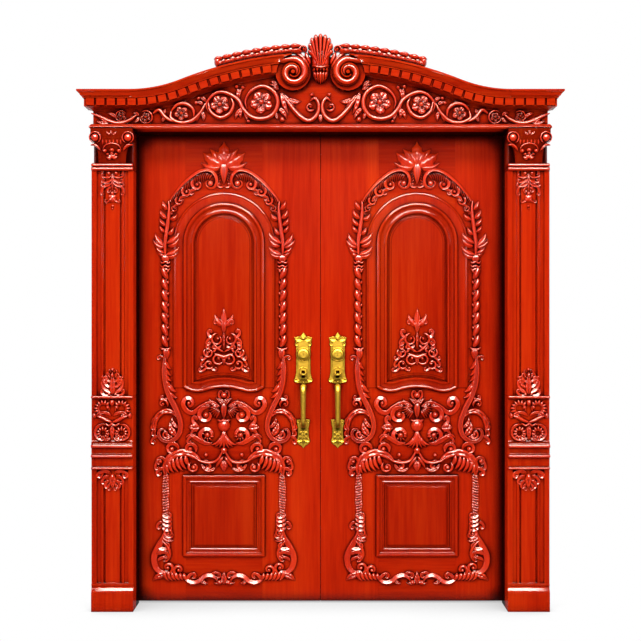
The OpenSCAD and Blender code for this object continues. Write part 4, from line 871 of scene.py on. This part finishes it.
def plate_relief():
    """Finial leaf, scrolled ears, a ring round the key disc, a frame round the press, and leaves on the
    foot plate."""
    c = Carving(7)
    c.blade((0, 1196), (0, 1231), 20, 0, 8, pair=False)
    c.bead((0, 1206), 6, 10, 1.5, pair=False)
    for p, q, w, bow in (((8, 1200), (31, 1203), 10, -0.2), ((14, 1192), (33, 1182), 9, 0.2),
                         ((12, 1206), (22, 1212), 8, 0.2), ((20, 1022), (34, 1012), 10, -0.2),
                         ((12, 1012), (26, 1014), 8, 0.2), ((8, 826), (24, 832), 8, 0.2),
                         ((6, 744), (24, 738), 9, -0.2)):
        c.hook(p, q, w, bow, 7)
    a = np.linspace(0, 2 * np.pi, 60)
    ring = np.stack([30 * np.sin(a), 1134 + 30 * np.cos(a)], -1)
    c.strap(ring, 5, 5, rounded, even, False, 3)
    c.vine([(0, 1076), (15, 1070), (18, 1044), (16, 1022), (0, 1014)], 6, 6, base=3)
    c.blade((0, 1012), (0, 1001), 14, 0, 6, rounded, pair=False)
    c.vine([(28, 1180), (27, 1134), (28, 1080), (29, 1030)], 4, 4)
    c.blade((0, 788), (0, 716), 26, 0, 8, pair=False)
    for p, q, w in (((4, 780), (18, 764), 11), ((4, 762), (17, 746), 11), ((3, 742), (16, 726), 10)):
        c.blade(p, q, w, 0.2, 7)
    return c


for side, way in SIDES:
    # The post behind the capital gets the capital's painted shade
    post = Carving()
    post.strap(straight((0, 1965), (0, 2136), 12), 192, 42, squared, even, False, m=25)
    post.piece(side + "_capital_post", PILASTER_X * way, POST_FACE, "frame", "lacquered_wood", finish=capital_shade)
    plate = plate_relief()
    plate.piece(side + "_plate_relief", HANDLE_X * way, PLATE_FACE, side + "_leaf", "brass", finish=brass)

# Painted shade: a black strip fills the gap between the leaves, where the gap is dark
gap_strip = Carving()
gap_strip.strap(straight((GAP_STRIP_X, 9), (GAP_STRIP_X, 2141), 40), GAP_STRIP_WIDTH, 8, squared, even, pair=False, m=25)
gap_strip.piece("meeting_gap_shade", 0, GAP_STRIP_FACE, "left_leaf", "dark_wood", finish=gap_shade)


def backdrop(name, tone):
    """A pale surface that the lens sees as white, with a painted shadow where the object stands close over
    it.

    Gloss sees it dim in front of the door and white behind, so that the lacquer shows the lamps alone.
    """
    mat, g = blank(name)
    path = g.add("LightPath")
    depth = g.add("SeparateXYZ", {0: g.add("TexCoord").outputs["Object"]}).outputs["Y"]
    back = g.math("MULTIPLY", g.math("ADD", depth, 3.0), 0.25)
    dim = g.ramp(back, [(0.70, DARK_ROOM), (0.86, WHITE)])
    # Painted shadow: the floor's white darkens where the object stands close, by the open sky within half a
    # metre
    white = g.ramp(g.sky(0.5), [(0.0, (0.45, 0.44, 0.44)), (0.75, WHITE)])
    white = g.mix(path.outputs["Is Camera Ray"], g.mix(1.0, white, dim, "MULTIPLY"), white)
    glow = g.add("Emission", {"Color": white, "Strength": 1.0})
    plain = g.add("BsdfDiffuse", {"Color": (tone, tone, tone, 1)})
    both = g.add("MixShader", {0: g.seen(path), 1: plain.outputs[0], 2: glow.outputs[0]})
    g.done(both.outputs[0])
    return mat


FLOOR_Z = -0.0005  # metres: just under the plinths
sheet = bpy.data.meshes.new("studio_floor")
sheet.from_pydata([(x, y, FLOOR_Z) for x, y in ((-6, -7), (6, -7), (6, 6), (-6, 6))], [], [(0, 1, 2, 3)])
sheet.materials.append(backdrop("floor_white", 0.72))
floor = bpy.data.objects.new("studio_floor", sheet)
scene.collection.objects.link(floor)

# The world: white to the lens, dim in front and white behind to gloss, an even pale grey to plain light
world = bpy.data.worlds.new("studio")
scene.world = world
world.use_nodes = True
g = Graph(world.node_tree)
path = g.add("LightPath")
ahead = g.add("SeparateXYZ", {0: g.add("TexCoord").outputs["Generated"]}).outputs["Y"]
back = g.math("ADD", g.math("MULTIPLY", ahead, 0.5), 0.5)
studio = g.ramp(back, [(0.34, DARK_ROOM), (0.66, WHITE)])
glossy = g.mix(path.outputs["Is Camera Ray"], studio, (*WHITE, 1))
tint = g.mix(g.seen(path), (0.22, 0.22, 0.225, 1), glossy)
g.add("OutputWorld", {"Surface": g.add("Background", {"Color": tint, "Strength": 1.0}).outputs[0]})


def lamp(name, place, target, size, power, gloss=True, fill=True, tint=WHITE):
    """A soft rectangular lamp turned from its place to its target; gloss or plain light may leave it out."""
    data = bpy.data.lights.new(name, "AREA")
    data.shape = "RECTANGLE"
    data.size, data.size_y = size
    data.energy = power
    data.color = tint
    ob = bpy.data.objects.new(name, data)
    scene.collection.objects.link(ob)
    ob.location = place
    d = np.array(target, float) - np.array(place, float)
    flat = math.hypot(d[0], d[1])
    ob.rotation_euler = (math.atan2(flat, -d[2]), 0, math.atan2(-d[0], d[1]))
    ob.visible_glossy = gloss
    ob.visible_diffuse = fill


lamp("key_lamp", (0.0, -3.4, 4.9), (0, 0, 1.1), (3.0, 1.2), 150, gloss=False)
lamp("front_lamp", (0.0, -5.4, 2.7), (0, 0, 1.2), (3.0, 1.6), 100, gloss=False)
lamp("sheen_lamp", (0.0, -3.0, 4.9), (0, 0, 1.1), (4.2, 2.6), 2400, fill=False, tint=(1.0, 0.8, 0.68))
for side, way in SIDES:
    lamp(side + "_lamp", (4.2 * way, -3.4, 2.6), (0, 0, 1.2), (0.8, 1.8), 40)

lens = bpy.data.cameras.new("lens")
lens.lens = 60.2
lens.sensor_width = 36.0
camera = bpy.data.objects.new("camera", lens)
scene.collection.objects.link(camera)
camera.location = (0.0, -4.848, 1.289)
camera.rotation_euler = (math.pi / 2, 0, 0)
scene.camera = camera

scene.view_settings.view_transform = "Standard"
